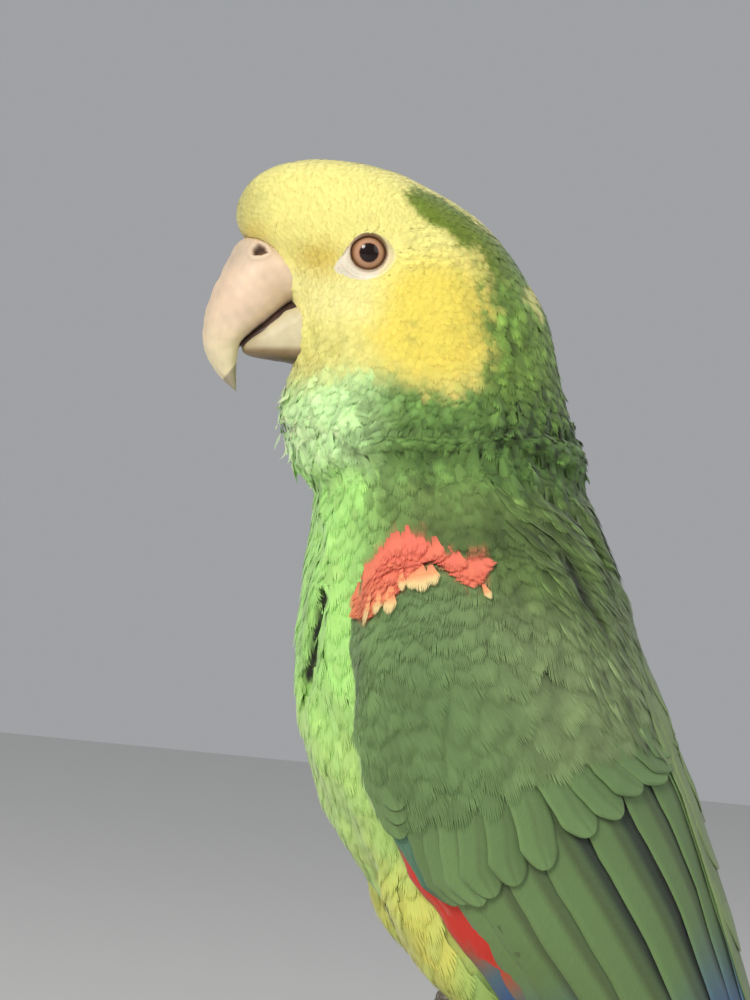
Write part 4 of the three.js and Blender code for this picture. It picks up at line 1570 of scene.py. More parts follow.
def along_back(p):
    """Which way the shoulder's long feathers lie: backwards at first, then down the back."""
    fall = ease(-p[:, 2], 58, 84)
    return unit(np.stack([np.zeros(len(p)), mix(0.8, 0.46, fall), mix(-0.6, -0.89, fall)], 1))


def long_feathers(name, feathers, level, sides, plume, rng):
    """Long narrow feathers, each with a light lower edge that lies over the next, and painted shade where
    it lies under the one above.
    """
    sides = np.reshape(sides, (-1, 1))
    colours = station_colours(feathers, 0.3, rng, covert_colours)
    colours = colours * (1.02 + rng.normal(0, 0.2, (feathers.count, 1, 1, 1)))
    plain = soft_paint(0.7, 0.1, 0.03)

    def paint(colours, across, along, group, rng):
        lower = across * sides
        # A lighter lower edge, and painted shade on the upper part, which lies under the feather above.
        edge = 0.75 * ease(lower, 0.45, 0.85) - 0.5 * ease(-lower, -0.1, 0.6)
        shown = plain(colours, across, along, group, rng)
        return np.clip(shown * (1 + edge * ease(along, 0.1, 0.4))[..., None], 0, 1)

    feather_piece(
        name, "wing_feathers", feathers, contour_shapes(13, 12, 0.03, 12),
        (0.5, level, 0.12 * feathers.halves, 0.03), colours, paint, plume, rng, 0.4, 0.3 * sides, True,
    )


def grown_back(surface, spacing, edge, off_middle, longs, wides, steps, rng):
    """Long feathers scattered inside an edge seen from the side, laid backwards along a surface."""
    grown = lambda p: (inside_by(p, edge) > 0) & (np.abs(p[:, 0]) > off_middle)
    roots = scatter(surface, evenly(spacing), grown, rng)
    lengths, halves = rng.uniform(*longs, len(roots)), rng.uniform(*wides, len(roots))
    feathers = run_over(surface, roots, along_back(roots), halves, lengths, along_back, steps)
    return feathers, np.sign(roots[:, 0])


def shoulder_feathers(body, wing, plume, rng):
    """The long feathers over the top of each wing, and those of the back above them."""
    feathers, _ = grown_back(wing.core, 2.7, SCAPULAR_EDGE, 0, (12, 18), (1.5, 2.1), 7, rng)
    level = 0.85 + rng.uniform(0, 0.35, feathers.count)
    for side, sign, laid in feathers.both_sides():
        long_feathers(f"scapulars_{side}", laid, level, sign, plume, rng)

    feathers, sides = grown_back(body, 2.6, MANTLE_EDGE, 5, (9, 13), (1.4, 2.0), 6, rng)
    tips = feathers.strips[:, -1, 1]
    over_wing = ease(-tips[:, 2], 58, 64) * ease(np.abs(tips[:, 0]), 12, 18)
    level = 0.3 + rng.uniform(0, 0.2, feathers.count) + 1.2 * over_wing
    long_feathers("mantle_feathers", feathers, level, sides, plume, rng)


def tufts(name, surface, spacing, grown, size, raised, lighter, plume, rng):
    """Loose feathers whose tips stand clear of the coat."""
    roots = scatter(surface, evenly(spacing), grown, rng)
    count = len(roots)
    lengths = size * rng.uniform(0.75, 1.2, count)
    halves = 0.36 * size * rng.uniform(0.8, 1.1, count)
    heading = unit(lie(roots) + 0.25 * rng.normal(size=(count, 3)))
    feathers = run_over(surface, roots, heading, halves, lengths, lie, 4)
    # The tufts are lighter than the coat: partly their paler tips, partly painted highlight where they
    # stand clear of it.
    colours = station_colours(feathers, 0.5, rng) * (lighter + rng.normal(0, 0.12, (count, 1, 1, 1)))
    heights = (0.2, raised * rng.uniform(0.35, 1.0, count) ** 1.3, 0.25 * halves, 0.05)
    feather_piece(
        name, "body_feathers", feathers, contour_shapes(7, 8, 0.1, 107), heights, colours,
        soft_paint(0.75, 0.12, 0.02), plume, rng, 0.65,
    )


# The tail as a slanting fan: its root, which way it points and the direction its top faces.
TAIL_ROOT = np.array([0, 97, -190])
TAIL_DOWN = unit(np.array([0, 62, -112.0]))
TAIL_UP = unit(np.array([0, 112, 62.0]))
TAIL_LONG = 124.0
TAIL_PAIRS = 6


def tail_fan(plume, rng):
    """Twelve stiff tail feathers, the middle pair on top."""
    order = np.arange(TAIL_PAIRS)
    lengths = TAIL_LONG - 1.8 * order**1.3
    halves = np.full(TAIL_PAIRS, 7.6)
    share = np.linspace(0, 1, 12)[None, :]
    for side, sign in SIDES.items():
        root_x = sign * (1.6 + order * 1.2)
        tip_x = sign * (4.2 + order * 3.0)
        x = root_x[:, None] + (tip_x - root_x)[:, None] * share**0.9
        edges = halves[:, None, None] * np.array([1, 0, -1]) * sign
        x = x[..., None] + edges * (0.75 + 0.25 * share[..., None])
        layer = 2.6 - 0.75 * order[:, None, None] - 0.006 * x**2 + (0.2 if side == "left" else 0)
        down = share[..., None] * lengths[:, None, None]
        strips = (
            TAIL_ROOT + x[..., None] * np.array([1, 0, 0])
            + down[..., None] * TAIL_DOWN + layer[..., None] * TAIL_UP
        )
        strips = strips[:, :, ::-1]
        feathers = Feathers(strips, np.broadcast_to(TAIL_UP, strips.shape), halves, lengths)
        feather_piece(
            f"tail_feathers_{side}", "tail_feathers", feathers, vane_shape(30, 9, 0.1, 9),
            (0.0, 0.1, 0.03 * halves, 0.25), None, tail_paint(np.where(order > 2, 0.8, 0.0)), plume, rng,
            thickness=0.2, nodes=["tail"] if side == "left" else [],
        )


def tail_paint(red):
    """Green tail feathers with a yellow band at the tip and, on the outer ones, red at the root."""

    def paint(colours, across, along, group, rng):
        count = len(across)
        colour = TAIL_GREEN * np.ones((count, across.shape[1], 1))
        inner = ease(-across, -0.2, 0.1)
        base = (1 - ease(along, 0.45, 0.62)) * red[:, None]
        colour = mix(colour, SPECULUM_RED, (base * inner)[..., None])
        band = ease(along + rng.normal(0, 0.01, (count, 1)), 0.76, 0.84)
        colour = mix(colour, TAIL_BAND, band[..., None])
        shaft = hump(across, 0, 0.07)[..., None]
        colour = mix(colour, SHAFT_DARK, shaft * 0.5)
        return np.clip(colour * (1 + rng.normal(0, 0.05, (count, 1, 1))), 0, 1)

    return paint


def skin(surface, wing):
    """One skin for all the flesh, under the coat by the coat's own depth."""
    points, normals = surface.points, surface.normals
    spacing = coat_spacing(points)
    deep = mix(0.3, 0.2 + 0.4 * spacing, ease(spacing, 1.1, 1.8))
    y, z = points[:, 1] + EYE_FORWARD, points[:, 2]
    past = np.hypot(y, z) - almond(np.arctan2(z, y))
    deep = np.where(np.abs(points[:, 0]) > 8, mix(1.9, deep, ease(past, 0, 1.2)), deep)
    gap, down = wing.locate(points)
    feathered = 1 - ease(gap, 2.2, 4.0)
    deep = deep + 1.0 * ease(down, 0.2, 0.3) * feathered
    cast = surface.tree.ray_cast
    for k, (point, normal) in enumerate(zip(points.tolist(), normals.tolist())):
        start = Vector(point) - Vector(normal) * 0.05
        away = cast(start, -Vector(normal))[3]
        if away is not None:
            deep[k] = min(deep[k], 0.35 * away)
    tints = markings(points) * mix(0.97, 0.85, ease(-points[:, 2:], 22, 44))
    # Painted shade in the coat's creases, on the skin too.
    tints = mix(tints, CREASE_SHADOW, ease(creased(points, least=1.5)[1], 0.3, 0.9)[:, None])
    tints = mix(tints, FLIGHT_BLACK, (ease(down, 0.42, 0.5) * (1 - ease(gap, 2.2, 3.2)))[:, None])
    sunk = points - normals * deep[:, None]
    near, facing = surface.drop(sunk)
    burst = ((sunk - near) * facing).sum(1) > 0
    sunk[burst] = points[burst]
    piece = mesh_object("skin", sunk, np.zeros((0, 4)), surface.tris, skin_material(), tints)
    nodes = BODY_NODES + [f"{part}_{side}" for part in ("wing", "wing_tip", "thigh") for side in SIDES]
    return keep(piece, "body_feathers", *nodes)


# What repeats at an even pitch along a path, made with Geometry Nodes.


def plate_tree():
    """Sets domed plates along a mesh's edges, square to its "facing" attribute."""
    group = bpy.data.node_groups.new("plates_along_path", "GeometryNodeTree")
    for label, kind in (("Geometry", "Geometry"), ("Pitch", "Float"), ("Size", "Vector"),
                        ("Unevenness", "Float"), ("Seed", "Int"), ("Material", "Material")):
        group.interface.new_socket(label, in_out="INPUT", socket_type=f"NodeSocket{kind}")
    group.interface.new_socket("Geometry", in_out="OUTPUT", socket_type="NodeSocketGeometry")
    tree = Tree(group)
    given = group.nodes.new("NodeGroupInput").outputs

    curve = tree.add("GeometryNodeMeshToCurve", {"Mesh": given["Geometry"]})
    even = tree.add("GeometryNodeResampleCurve", {"Curve": curve, "Length": given["Pitch"]}, mode="LENGTH")
    ball = tree.add("GeometryNodeMeshUVSphere", {"Segments": 14, "Rings": 8, "Radius": 1.0})
    round_ball = tree.add("GeometryNodeSetShadeSmooth", {"Geometry": ball})

    facing = tree.add("GeometryNodeInputNamedAttribute", {"Name": "facing"}, "Attribute",
                      data_type="FLOAT_VECTOR")
    upright = tree.add("FunctionNodeAlignRotationToVector", {"Vector": facing}, axis="Z")
    ahead = tree.add(
        "FunctionNodeAlignRotationToVector",
        {"Rotation": upright, "Vector": tree.add("GeometryNodeInputTangent")}, axis="X", pivot_axis="Z",
    )
    least, most = (
        tree.add("ShaderNodeMath", {0: given["Unevenness"], 1: way, 2: 1.0}, operation="MULTIPLY_ADD")
        for way in (-1, 1)
    )
    spread = tree.add("FunctionNodeRandomValue", {2: least, 3: most, "Seed": given["Seed"]}, 1,
                      data_type="FLOAT")
    size = tree.add("ShaderNodeVectorMath", {0: given["Size"], "Scale": spread}, operation="SCALE")

    spots = {"Points": even, "Instance": round_ball, "Rotation": ahead, "Scale": size}
    plates = tree.add("GeometryNodeInstanceOnPoints", spots)
    whole = tree.add("GeometryNodeRealizeInstances", {"Geometry": plates})
    painted = tree.add("GeometryNodeSetMaterial", {"Geometry": whole, "Material": given["Material"]})
    tree.give(group.nodes.new("NodeGroupOutput"), "Geometry", painted)
    return group


def plates_along(name, paths, facings, closed, tree, values):
    """Runs the plate tree on paths, whose plates face the given ways, and makes it a plain mesh."""
    edges, start = [], 0
    for path in paths:
        steps = len(path) if closed else len(path) - 1
        edges += [(start + k, start + (k + 1) % len(path)) for k in range(steps)]
        start += len(path)
    lines = bpy.data.meshes.new(f"{name}_paths")
    lines.from_pydata(metres(np.concatenate(paths)).tolist(), edges, [])
    ways = np.concatenate(facings).astype(np.float32)
    lines.attributes.new("facing", "FLOAT_VECTOR", "POINT").data.foreach_set("vector", ways.ravel())
    made = placed(name, lines)
    grower = made.modifiers.new("plates", "NODES")
    grower.node_group = tree
    for socket in tree.interface.items_tree:
        if socket.in_out == "INPUT" and socket.name in values:
            grower[socket.identifier] = values[socket.name]
    result = finished(made)
    made.modifiers.remove(grower)
    made.data = result
    return made


# The eye ring's points in each row round the eye, and the row on the lid's edge that carries beads.
RING_AROUND = 180
BEAD_ROW = 3


def lid_beads(side, ring, tree, lid):
    """The row of tiny soft beads that a parrot's lid carries round its edge."""
    count = len(ring.data.vertices)
    places, ways = np.empty((2, count * 3), np.float32)
    ring.data.vertices.foreach_get("co", places)
    ring.data.vertex_normals.foreach_get("vector", ways)
    row = slice(BEAD_ROW * RING_AROUND, (BEAD_ROW + 1) * RING_AROUND)
    piece = plates_along(
        f"lid_beads_{side}", [own(places.reshape(-1, 3)[row])], [ways.reshape(-1, 3)[row]], True, tree,
        {"Pitch": 0.00052, "Size": (0.00017, 0.00021, 0.00017), "Unevenness": 0.25, "Seed": 4,
         "Material": lid},
    )
    return keep(piece, "eyes")


# Eyes.


def eyeball(side, glass):
    """A whole ball with its poles on the line of sight."""
    sign = SIDES[side]
    rings, around = 40, 64
    angle = np.linspace(0, math.pi, rings + 1)[1:-1]
    turn = np.linspace(0, 2 * math.pi, around, endpoint=False)
    x = np.cos(angle)[:, None] * np.ones(around)
    y = np.sin(angle)[:, None] * np.cos(turn)
    z = np.sin(angle)[:, None] * np.sin(turn)
    points = np.stack([x, y, z], -1).reshape(-1, 3)
    points = np.concatenate([points, [[1, 0, 0], [-1, 0, 0]]]) * EYE_RADIUS
    off_middle = np.hypot(points[:, 1], points[:, 2])
    points[:, 0] += 0.35 * np.exp(-((off_middle / 3.4) ** 4)) * (points[:, 0] > 0)
    quads, tris = closed_rings(rings - 1, around)
    iris = points[:, 1:] + [0, PUPIL_DROP]
    points[:, 0] *= sign
    if sign > 0:
        quads, tris = quads[:, ::-1], tris[:, ::-1]
    points += [sign * EYE_APART, -EYE_FORWARD, 0]
    piece = mesh_object(f"eyeball_{side}", points, quads, tris, glass, None, {"iris": iris})
    return keep(piece, "eyes", f"eye_{side}")


# How far the lids' edge is from the eye's centre.
LID_EDGE = 4.12


def eye_ring(side, surface, bare):
    """Lids and naked skin, from the edge of the lid out under the feathers."""
    sign = SIDES[side]
    rows, around = 40, RING_AROUND
    turn = np.linspace(-math.pi, math.pi, around, endpoint=False)[None]
    share = np.linspace(0, 1, rows)[:, None] ** 1.2
    reach = almond(turn)
    top = ease(np.sin(turn + 0.1), 0.1, 0.85)
    edge = LID_EDGE - 0.42 * top + 0.04 * np.cos(2 * turn)
    r = edge + (np.maximum(reach + 1.7, edge + 2.4) - edge) * share
    y = r * np.cos(turn) - EYE_FORWARD
    z = r * np.sin(turn)
    coat_x = surface.seen_from(0, y, z)[0][..., 0]
    ball_x = EYE_APART + np.sqrt(EYE_RADIUS**2 - edge**2)
    rise = ease(r, edge + 0.5, np.maximum(reach, edge + 1.2))
    x = mix(ball_x + 0.25, coat_x - 0.1, rise)
    roll = hump(r - edge, 0.3, 0.26 + 0.3 * top)
    x = x + (0.3 + 0.25 * top) * roll - 0.2 * np.exp(-(((r - edge - 0.95 - 0.4 * top) / 0.28) ** 2))
    x = x - 0.8 * (share < 0.01)
    wrinkle = 0.03 * np.sin(turn * 40 + 3 * np.sin(r * 2.1))
    wrinkle = wrinkle + 0.04 * np.sin(r * 7 + 1.5 * np.sin(turn * 3))
    x = x + wrinkle * ease(r, edge + 0.9, edge + 1.6) * (1 - ease(r, 0.92 * reach, reach))
    x = x - 0.15 * ease(r, reach, reach + 0.7) - 0.6 * ease(r, reach + 0.9, reach + 1.7)
    points = np.stack([x, y, z], -1).reshape(-1, 3)

    pale, rosy = tone(238, 228, 206), tone(216, 192, 166)
    lid_brown, olive = tone(96, 64, 34), tone(122, 92, 46)
    cream = tone(244, 232, 160)
    rear = ease(np.cos(turn - 0.1), 0.1, 0.7)
    crease = ease(np.cos(turn - 2.62), 0.55, 0.8) * hump(r - reach, -0.2, 0.3)
    # The olive band along the top of the lid is partly the lid's own colour and partly painted shade.
    tints = washed(
        pale, (rosy, 0.8 * ease(-r, -edge - 1.5, -edge)),
        (cream, ease(r, mix(0.95, 0.7, rear) * reach, 1.02 * reach)),
        (olive, top * ease(-r, -edge - 1.1, -edge - 0.5)),
        (lid_brown, hump(r - edge, 0, 0.3) * (0.75 + 0.25 * top)), (olive, 0.55 * crease),
    )
    beyond = ease(r, 0.97 * reach, 1.04 * reach).reshape(-1, 1)
    tints = mix(tints.reshape(-1, 3), markings(points), beyond)
    quads = grid_quads(rows, around, closed=True)
    points[:, 0] *= sign
    if sign < 0:
        quads = quads[:, ::-1]
    piece = mesh_object(f"eye_ring_{side}", points, quads, [], bare, tints)
    return keep(piece, "eyes")


# Bill.


# Each rib's front y and z, back y and z, half width, and the share of the way back where it is widest.
UPPER_BILL_RIBS = [
    [-14, -4, -14, -4, 0, 0.5], [-23.5, 1.2, -13, -10.5, 8.6, 0.5],
    [-29.6, 0.7, -17.2, -13.2, 9.5, 0.52], [-33.1, -6.2, -20.1, -16.1, 9.2, 0.55],
    [-35.6, -12.6, -22.9, -18.8, 8.4, 0.58], [-36.9, -19.8, -26, -21.7, 7.1, 0.62],
    [-36, -26.2, -28, -24.6, 5.3, 0.62], [-33.2, -30.7, -28.3, -28.6, 3.6, 0.6],
    [-30, -33.6, -28, -32.4, 1.9, 0.5], [-27.6, -35.6, -27.6, -35.6, 0, 0.5],
]
LOWER_BILL_RIBS = [
    [-9, -20.5, -9, -20.5, 0, 0.5], [-12, -27.2, -12.5, -12.8, 7.4, 0.45],
    [-16.5, -27.4, -17.6, -13.8, 7.6, 0.45], [-20.8, -27.2, -21, -17.3, 7.0, 0.5],
    [-24.6, -26.9, -24.4, -21.0, 5.7, 0.55], [-26.6, -26.2, -26.7, -23.4, 3.8, 0.55],
    [-27.5, -24.9, -27.5, -24.9, 0, 0.5],
]


def lofted(ribs, levels, around, square):
    """A smooth closed form through ribs, front and back points with a half width and its place."""
    ribs = np.array(ribs, float)
    line = smooth_curve(ribs, levels + 1)[1:-1]
    front, back = line[:, 0:2], line[:, 2:4]
    half_width = np.maximum(line[:, 4], 0.05)
    widest = line[:, 5]
    across = back - front
    depth = np.maximum(np.linalg.norm(across, axis=1), 0.1)
    across = across / depth[:, None]
    centre = front + across * (depth * widest)[:, None]
    turn = np.linspace(0, 2 * math.pi, around, endpoint=False)
    along = np.sign(np.cos(turn)) * np.abs(np.cos(turn)) ** square
    wide = np.sign(np.sin(turn)) * np.abs(np.sin(turn)) ** square
    reach = np.where(
        along[None] > 0, -(depth * widest)[:, None] * along, -(depth * (1 - widest))[:, None] * along
    )
    yz = centre[:, None] + across[:, None] * reach[..., None]
    rings = np.concatenate([(half_width[:, None] * wide)[..., None], yz], -1)
    ends = np.array([[0, *ribs[0, :2]], [0, *ribs[-1, :2]]])
    points = np.concatenate([rings.reshape(-1, 3), ends])
    rows = len(rings)
    quads, tris = closed_rings(rows, around)
    level = np.repeat(np.linspace(0, 1, rows), around)
    map_points = np.stack([np.tile(turn / (2 * math.pi), rows), level], 1)
    map_points = np.concatenate([map_points, [[0.5, 0], [0.5, 1]]])
    return points, quads, tris, map_points


def outward(points, quads, tris):
    """The faces turned so that they look outwards, and the normals of the points."""
    corners = np.concatenate([quads[:, [0, 1, 2]], quads[:, [0, 2, 3]], tris])
    a, b, c = (points[corners[:, k]] for k in range(3))
    cross = np.cross(b - a, c - a)
    if (cross * (a - points.mean(0))).sum() < 0:
        quads, tris, cross = quads[:, ::-1], tris[:, ::-1], -cross
    normals = np.zeros_like(points)
    for k in range(3):
        np.add.at(normals, corners[:, k], cross)
    return quads, tris, unit(normals)


# The nostril's outline and the line where the grey tip of the bill starts, y and z.
NOSTRIL = [[-26.3, -0.4], [-25.1, -1.0], [-24.4, -2.1], [-25.6, -2.8], [-27.3, -3.0], [-27.4, -1.7]]
TIP_LINE = [[-28.2, -28.6], [-31.2, -33.0]]


def upper_bill(horn):
    """The hooked upper bill, with its ridge, growth steps, swollen cere and nostrils."""
    points, quads, tris, flat = lofted(UPPER_BILL_RIBS, 190, 200, 0.9)
    quads, tris, normals = outward(points, quads, tris)
    turn = flat[:, 0] * 2 * math.pi
    level = flat[:, 1]
    x, y, z = np.abs(points[:, 0]), points[:, 1], points[:, 2]
    ridge = hump(np.minimum(turn, 2 * math.pi - turn), 0, 0.16)
    height = 0.28 * ridge * ease(level, 0.12, 0.3) * (1 - ease(level, 0.85, 1))
    cere = ease(z - 0.45 * (y + 25), -4.5, -2.5)
    height += 0.22 * cere
    height += 0.07 * ripple(points, 5.5, 31) + 0.03 * ripple(points, 2.2, 32)
    height += 0.025 * np.sin(level * 95 + 2 * ripple(points, 12, 33)) * ease(level, 0.2, 0.5)
    inside = inside_by(points, NOSTRIL) - 9 * (1 - ease(x, 3, 5))
    pit = ease(inside, -0.32, 0.12)
    height += 0.25 * hump(inside, -0.9, 0.5) - 1.5 * pit
    points = points + normals * height[:, None]
    body = tone(232, 206, 178)
    tip = tone(238, 224, 184)
    tints = washed(body, (tip, ease(level, 0.45, 0.8)),
                   (tone(214, 184, 158), 0.5 * ease(-z, 8, 14) * ease(y, -24, -18)))
    line_start, line_end = np.array(TIP_LINE)
    across = np.array([line_end[1] - line_start[1], line_start[0] - line_end[0]])
    past = (np.stack([y, z], 1) - line_start) @ unit(across)
    grey_tip = ease(-past, -0.3, 0.3) * ease(-z, 27.5, 28.5)
    # Painted shade inside the nostril: brown, and near black where it is deepest.
    nostril_shade = pit * ease(z - 0.6 * (y + 26), -3.1, -1.2)
    tints = washed(tints, (tone(156, 144, 122), 0.85 * grey_tip), (tone(214, 194, 170), 0.6 * cere),
                   (tone(124, 86, 52), pit), (tone(62, 36, 18), nostril_shade))
    tints = tints * (1 + 0.04 * ripple(points, 4, 34) + 0.012 * ripple(points, 1.8, 35))[:, None]
    piece = mesh_object("upper_bill", points, quads, tris, horn, np.clip(tints, 0, 1), {"grain": flat})
    return keep(piece, "bill_horn", "bill_upper")


def lower_bill(horn):
    """The lower bill, with painted shade darkening it towards its underside."""
    points, quads, tris, flat = lofted(LOWER_BILL_RIBS, 60, 96, 0.78)
    quads, tris, normals = outward(points, quads, tris)
    points = points + normals * (0.06 * ripple(points, 4, 41))[:, None]
    y, z = points[:, 1], points[:, 2]
    # Painted shade on the underside, which turns down away from the light.
    low = -z + 0.1 * (y + 20)
    tints = washed(tone(212, 200, 164), (tone(190, 176, 142), ease(-y, 20, 26)),
                   (tone(150, 124, 92), ease(low, 23.6, 25.4)), (tone(84, 66, 46), ease(low, 25.4, 27.4)))
    tints = tints * (1 + 0.03 * ripple(points, 3, 42))[:, None]
    piece = mesh_object("lower_bill", points, quads, tris, horn, np.clip(tints, 0, 1), {"grain": flat})
    return keep(piece, "bill_horn", "bill_lower")


TONGUE_RIBS = [
    [-11, -19.5, -11, -19.5, 0, 0.5], [-14, -21.5, -14.5, -11.9, 5.4, 0.5],
    [-18.5, -21.5, -18.9, -13.6, 5.8, 0.5], [-22.6, -22.5, -22.8, -17.8, 5.2, 0.5],
    [-25.6, -24.0, -26.0, -21.4, 4.2, 0.5], [-27.6, -24.8, -27.8, -23.8, 2.6, 0.5],
    [-28.3, -24.6, -28.3, -24.6, 0, 0.5],
]


def mouth():
    """The tongue and lining that fill the gape, coloured very dark for the painted shade inside it."""
    points, quads, tris, _ = lofted(TONGUE_RIBS, 24, 32, 1.0)
    quads, tris, normals = outward(points, quads, tris)
    points = points + normals * (0.15 * ripple(points, 3, 45))[:, None]
    # A real tongue and lining, coloured very dark as painted shade in the gape.
    lining = mottled_material("mouth_lining_shade", (38, 26, 22), (84, 58, 48), 500.0, 0.45)
    piece = mesh_object("tongue", points, quads, tris, lining)
    return keep(piece, "bill_horn")


# Legs, perch and stand.

perch_low, perch_high = (own(corner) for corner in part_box("perch"))
PERCH_RADIUS = (perch_high[2] - perch_low[2]) / 2
PERCH_Y = (perch_low[1] + perch_high[1]) / 2
PERCH_Z = (perch_low[2] + perch_high[2]) / 2
# How far each foot is from the middle, how far its toes' roots are beside it and how high.
FOOT_APART = 19.0
TOE_SPREAD = 3.7
TOE_HEIGHT = 3.65
SCUTE_PITCH = 2.1
# name, side step, spread, way round the perch and length
TOES = [
    ("inner_front", -TOE_SPREAD, -2.5, 1, 23.0), ("outer_front", TOE_SPREAD, 3.0, 1, 33.0),
    ("outer_back", TOE_SPREAD, 4.5, -1, 30.0), ("inner_back", -TOE_SPREAD, -3.0, -1, 18.0),
]


def on_perch(x, angle, height):
    """Places above the perch's surface, by the turn backwards or forwards from its top."""
    reach = PERCH_RADIUS + height
    return np.stack([
        x * np.ones_like(angle), PERCH_Y - reach * np.sin(angle), PERCH_Z + reach * np.cos(angle)
    ], -1)


def tube(path, radii, around):
    """A round limb along a path, closed with a point at each end."""
    heading = unit(np.gradient(path, axis=0))
    sideways = unit(np.cross([1.0, 0, 0], heading))
    other = np.cross(heading, sideways)
    turn = np.linspace(0, 2 * math.pi, around, endpoint=False)
    rings = path[:, None] + radii[:, None, None] * (
        sideways[:, None] * np.cos(turn)[None, :, None] + other[:, None] * np.sin(turn)[None, :, None]
    )
    ends = np.array([path[0] - heading[0] * radii[0] * 0.5, path[-1] + heading[-1] * radii[-1] * 0.5])
    points = np.concatenate([rings.reshape(-1, 3), ends])
    return points, *closed_rings(len(path), around)


def toe_plates(side, skin_form, leather, tree):
    """The row of broad plates along the top of each toe."""
    paths, facings = [], []
    sign = SIDES[side]
    for _, step, spread, way, length in TOES:
        share = np.linspace(0.12, 0.97, 24)
        angle = way * share * length / (PERCH_RADIUS + TOE_HEIGHT)
        above = on_perch(FOOT_APART + step + spread * share, angle, 2 * TOE_HEIGHT + 1)
        above[:, 0] *= sign
        path, ways = skin_form.drop(above)
        paths.append(path)
        facings.append(ways)
    piece = plates_along(
        f"toe_plates_{side}", paths, facings, False, tree,
        {"Pitch": SCUTE_PITCH / 1000, "Size": (0.00125, 0.0023, 0.0005), "Unevenness": 0.08,
         "Seed": 9, "Material": leather},
    )
    return keep(piece, "leg_skin")


def leg_skin(side, leather, tree):
    """Shank, foot and toes as one skin with raised rings of scales across the shank."""
    parts = ["shank", "foot"] + [f"toe_{name}" for name, *_ in TOES]
    form = fused([f"{part}_{side}" for part in parts], 0.5, 8)
    p, n = form.points, form.normals
    around_perch = np.arctan2(-(p[:, 1] - PERCH_Y), p[:, 2] - PERCH_Z)
    reach = np.hypot(p[:, 1] - PERCH_Y, p[:, 2] - PERCH_Z)
    along_toe = np.abs(around_perch) * (PERCH_RADIUS + TOE_HEIGHT)
    out = np.stack([np.zeros(len(p)), p[:, 1] - PERCH_Y, p[:, 2] - PERCH_Z], 1) / reach[:, None]
    upper = ease((n * out).sum(1), -0.1, 0.5)
    on_shank = ease(p[:, 2], -185, -182)
    rings = np.abs(np.sin(math.pi * mix(along_toe, -p[:, 2], on_shank) / SCUTE_PITCH)) ** 0.6
    height = 0.28 * (rings - 0.6) * mix(0.3 * upper, 1.0, on_shank)
    pads = (1 - upper) * (1 - on_shank)
    height += 0.1 * pads * ripple(p, 1.6, 51) + 0.05 * ripple(p, 3, 52)
    piece = mesh_object(f"leg_skin_{side}", p + n * height[:, None], [], form.tris, leather)
    toe_plates(side, form, leather, tree)
    nodes = [f"{part}_{side}" for part in parts]
    return keep(piece, "leg_skin", *nodes)


def claws(side, horn):
    """Four curved claws, each thick at its root and sharp at its tip."""
    sign = SIDES[side]
    all_points, all_quads, all_tris = [], [], []
    start = 0
    for _, step, spread, way, length in TOES:
        end = length / (PERCH_RADIUS + TOE_HEIGHT)
        share = np.linspace(0, 1, 26)
        place = share * 3
        height = np.interp(place, [0, 1, 2, 3], [3.2, 4.2, 3.6, 1.2])
        angle = way * (end + 0.1 + place * 0.235)
        x = FOOT_APART + step + spread * (1 + 0.1 * place)
        path = on_perch(x, angle, height)
        radii = np.interp(place, [0, 1, 2, 3], [2.1, 1.7, 1.1, 0.25])
        points, quads, tris = tube(smooth_curve(path[::5], 26), radii, 16)
        points[:, 0] *= sign
        quads, tris, _ = outward(points, quads, tris)
        all_points.append(points)
        all_quads.append(quads + start)
        all_tris.append(tris + start)
        start += len(points)
    piece = mesh_object(
        f"claws_{side}", np.concatenate(all_points), np.concatenate(all_quads),
        np.concatenate(all_tris), horn,
    )
    return keep(piece, "claw_horn", *[f"claw_{name}_{side}" for name, *_ in TOES])


def turned(name, profile, axis, centre, around, finish, slot, *nodes):
    """A turned piece: a profile of (distance along, radius), closed at both ends."""
    profile = np.array(profile, float)
    turn = np.linspace(0, 2 * math.pi, around, endpoint=False)
    ring = np.zeros((len(profile), around, 3))
    one, two = [k for k in range(3) if k != axis]
    ring[..., axis] = profile[:, :1]
    ring[..., one] = profile[:, 1:] * np.cos(turn)
    ring[..., two] = profile[:, 1:] * np.sin(turn)
    ends = np.zeros((2, 3))
    ends[:, axis] = profile[[0, -1], 0]
    points = np.concatenate([ring.reshape(-1, 3), ends]) + np.array(centre)
    quads, tris, _ = outward(points, *closed_rings(len(profile), around))
    piece = mesh_object(name, points, quads, tris, finish)
    piece.data.set_sharp_from_angle(angle=math.radians(35))
    return keep(piece, slot, *nodes)


def rounded_bar(start, end, radius, chamfer, steps):
    """The profile of a bar with rounded ends."""
    turn = np.linspace(0, math.pi / 2, 7)
    head = [[start + chamfer * (1 - math.cos(t)), radius - chamfer * (1 - math.sin(t))] for t in turn]
    tail = [[end - (a - start), r] for a, r in head[::-1]]
    middle_part = [[x, radius] for x in np.linspace(start + chamfer, end - chamfer, steps)[1:-1]]
    return head + middle_part + tail


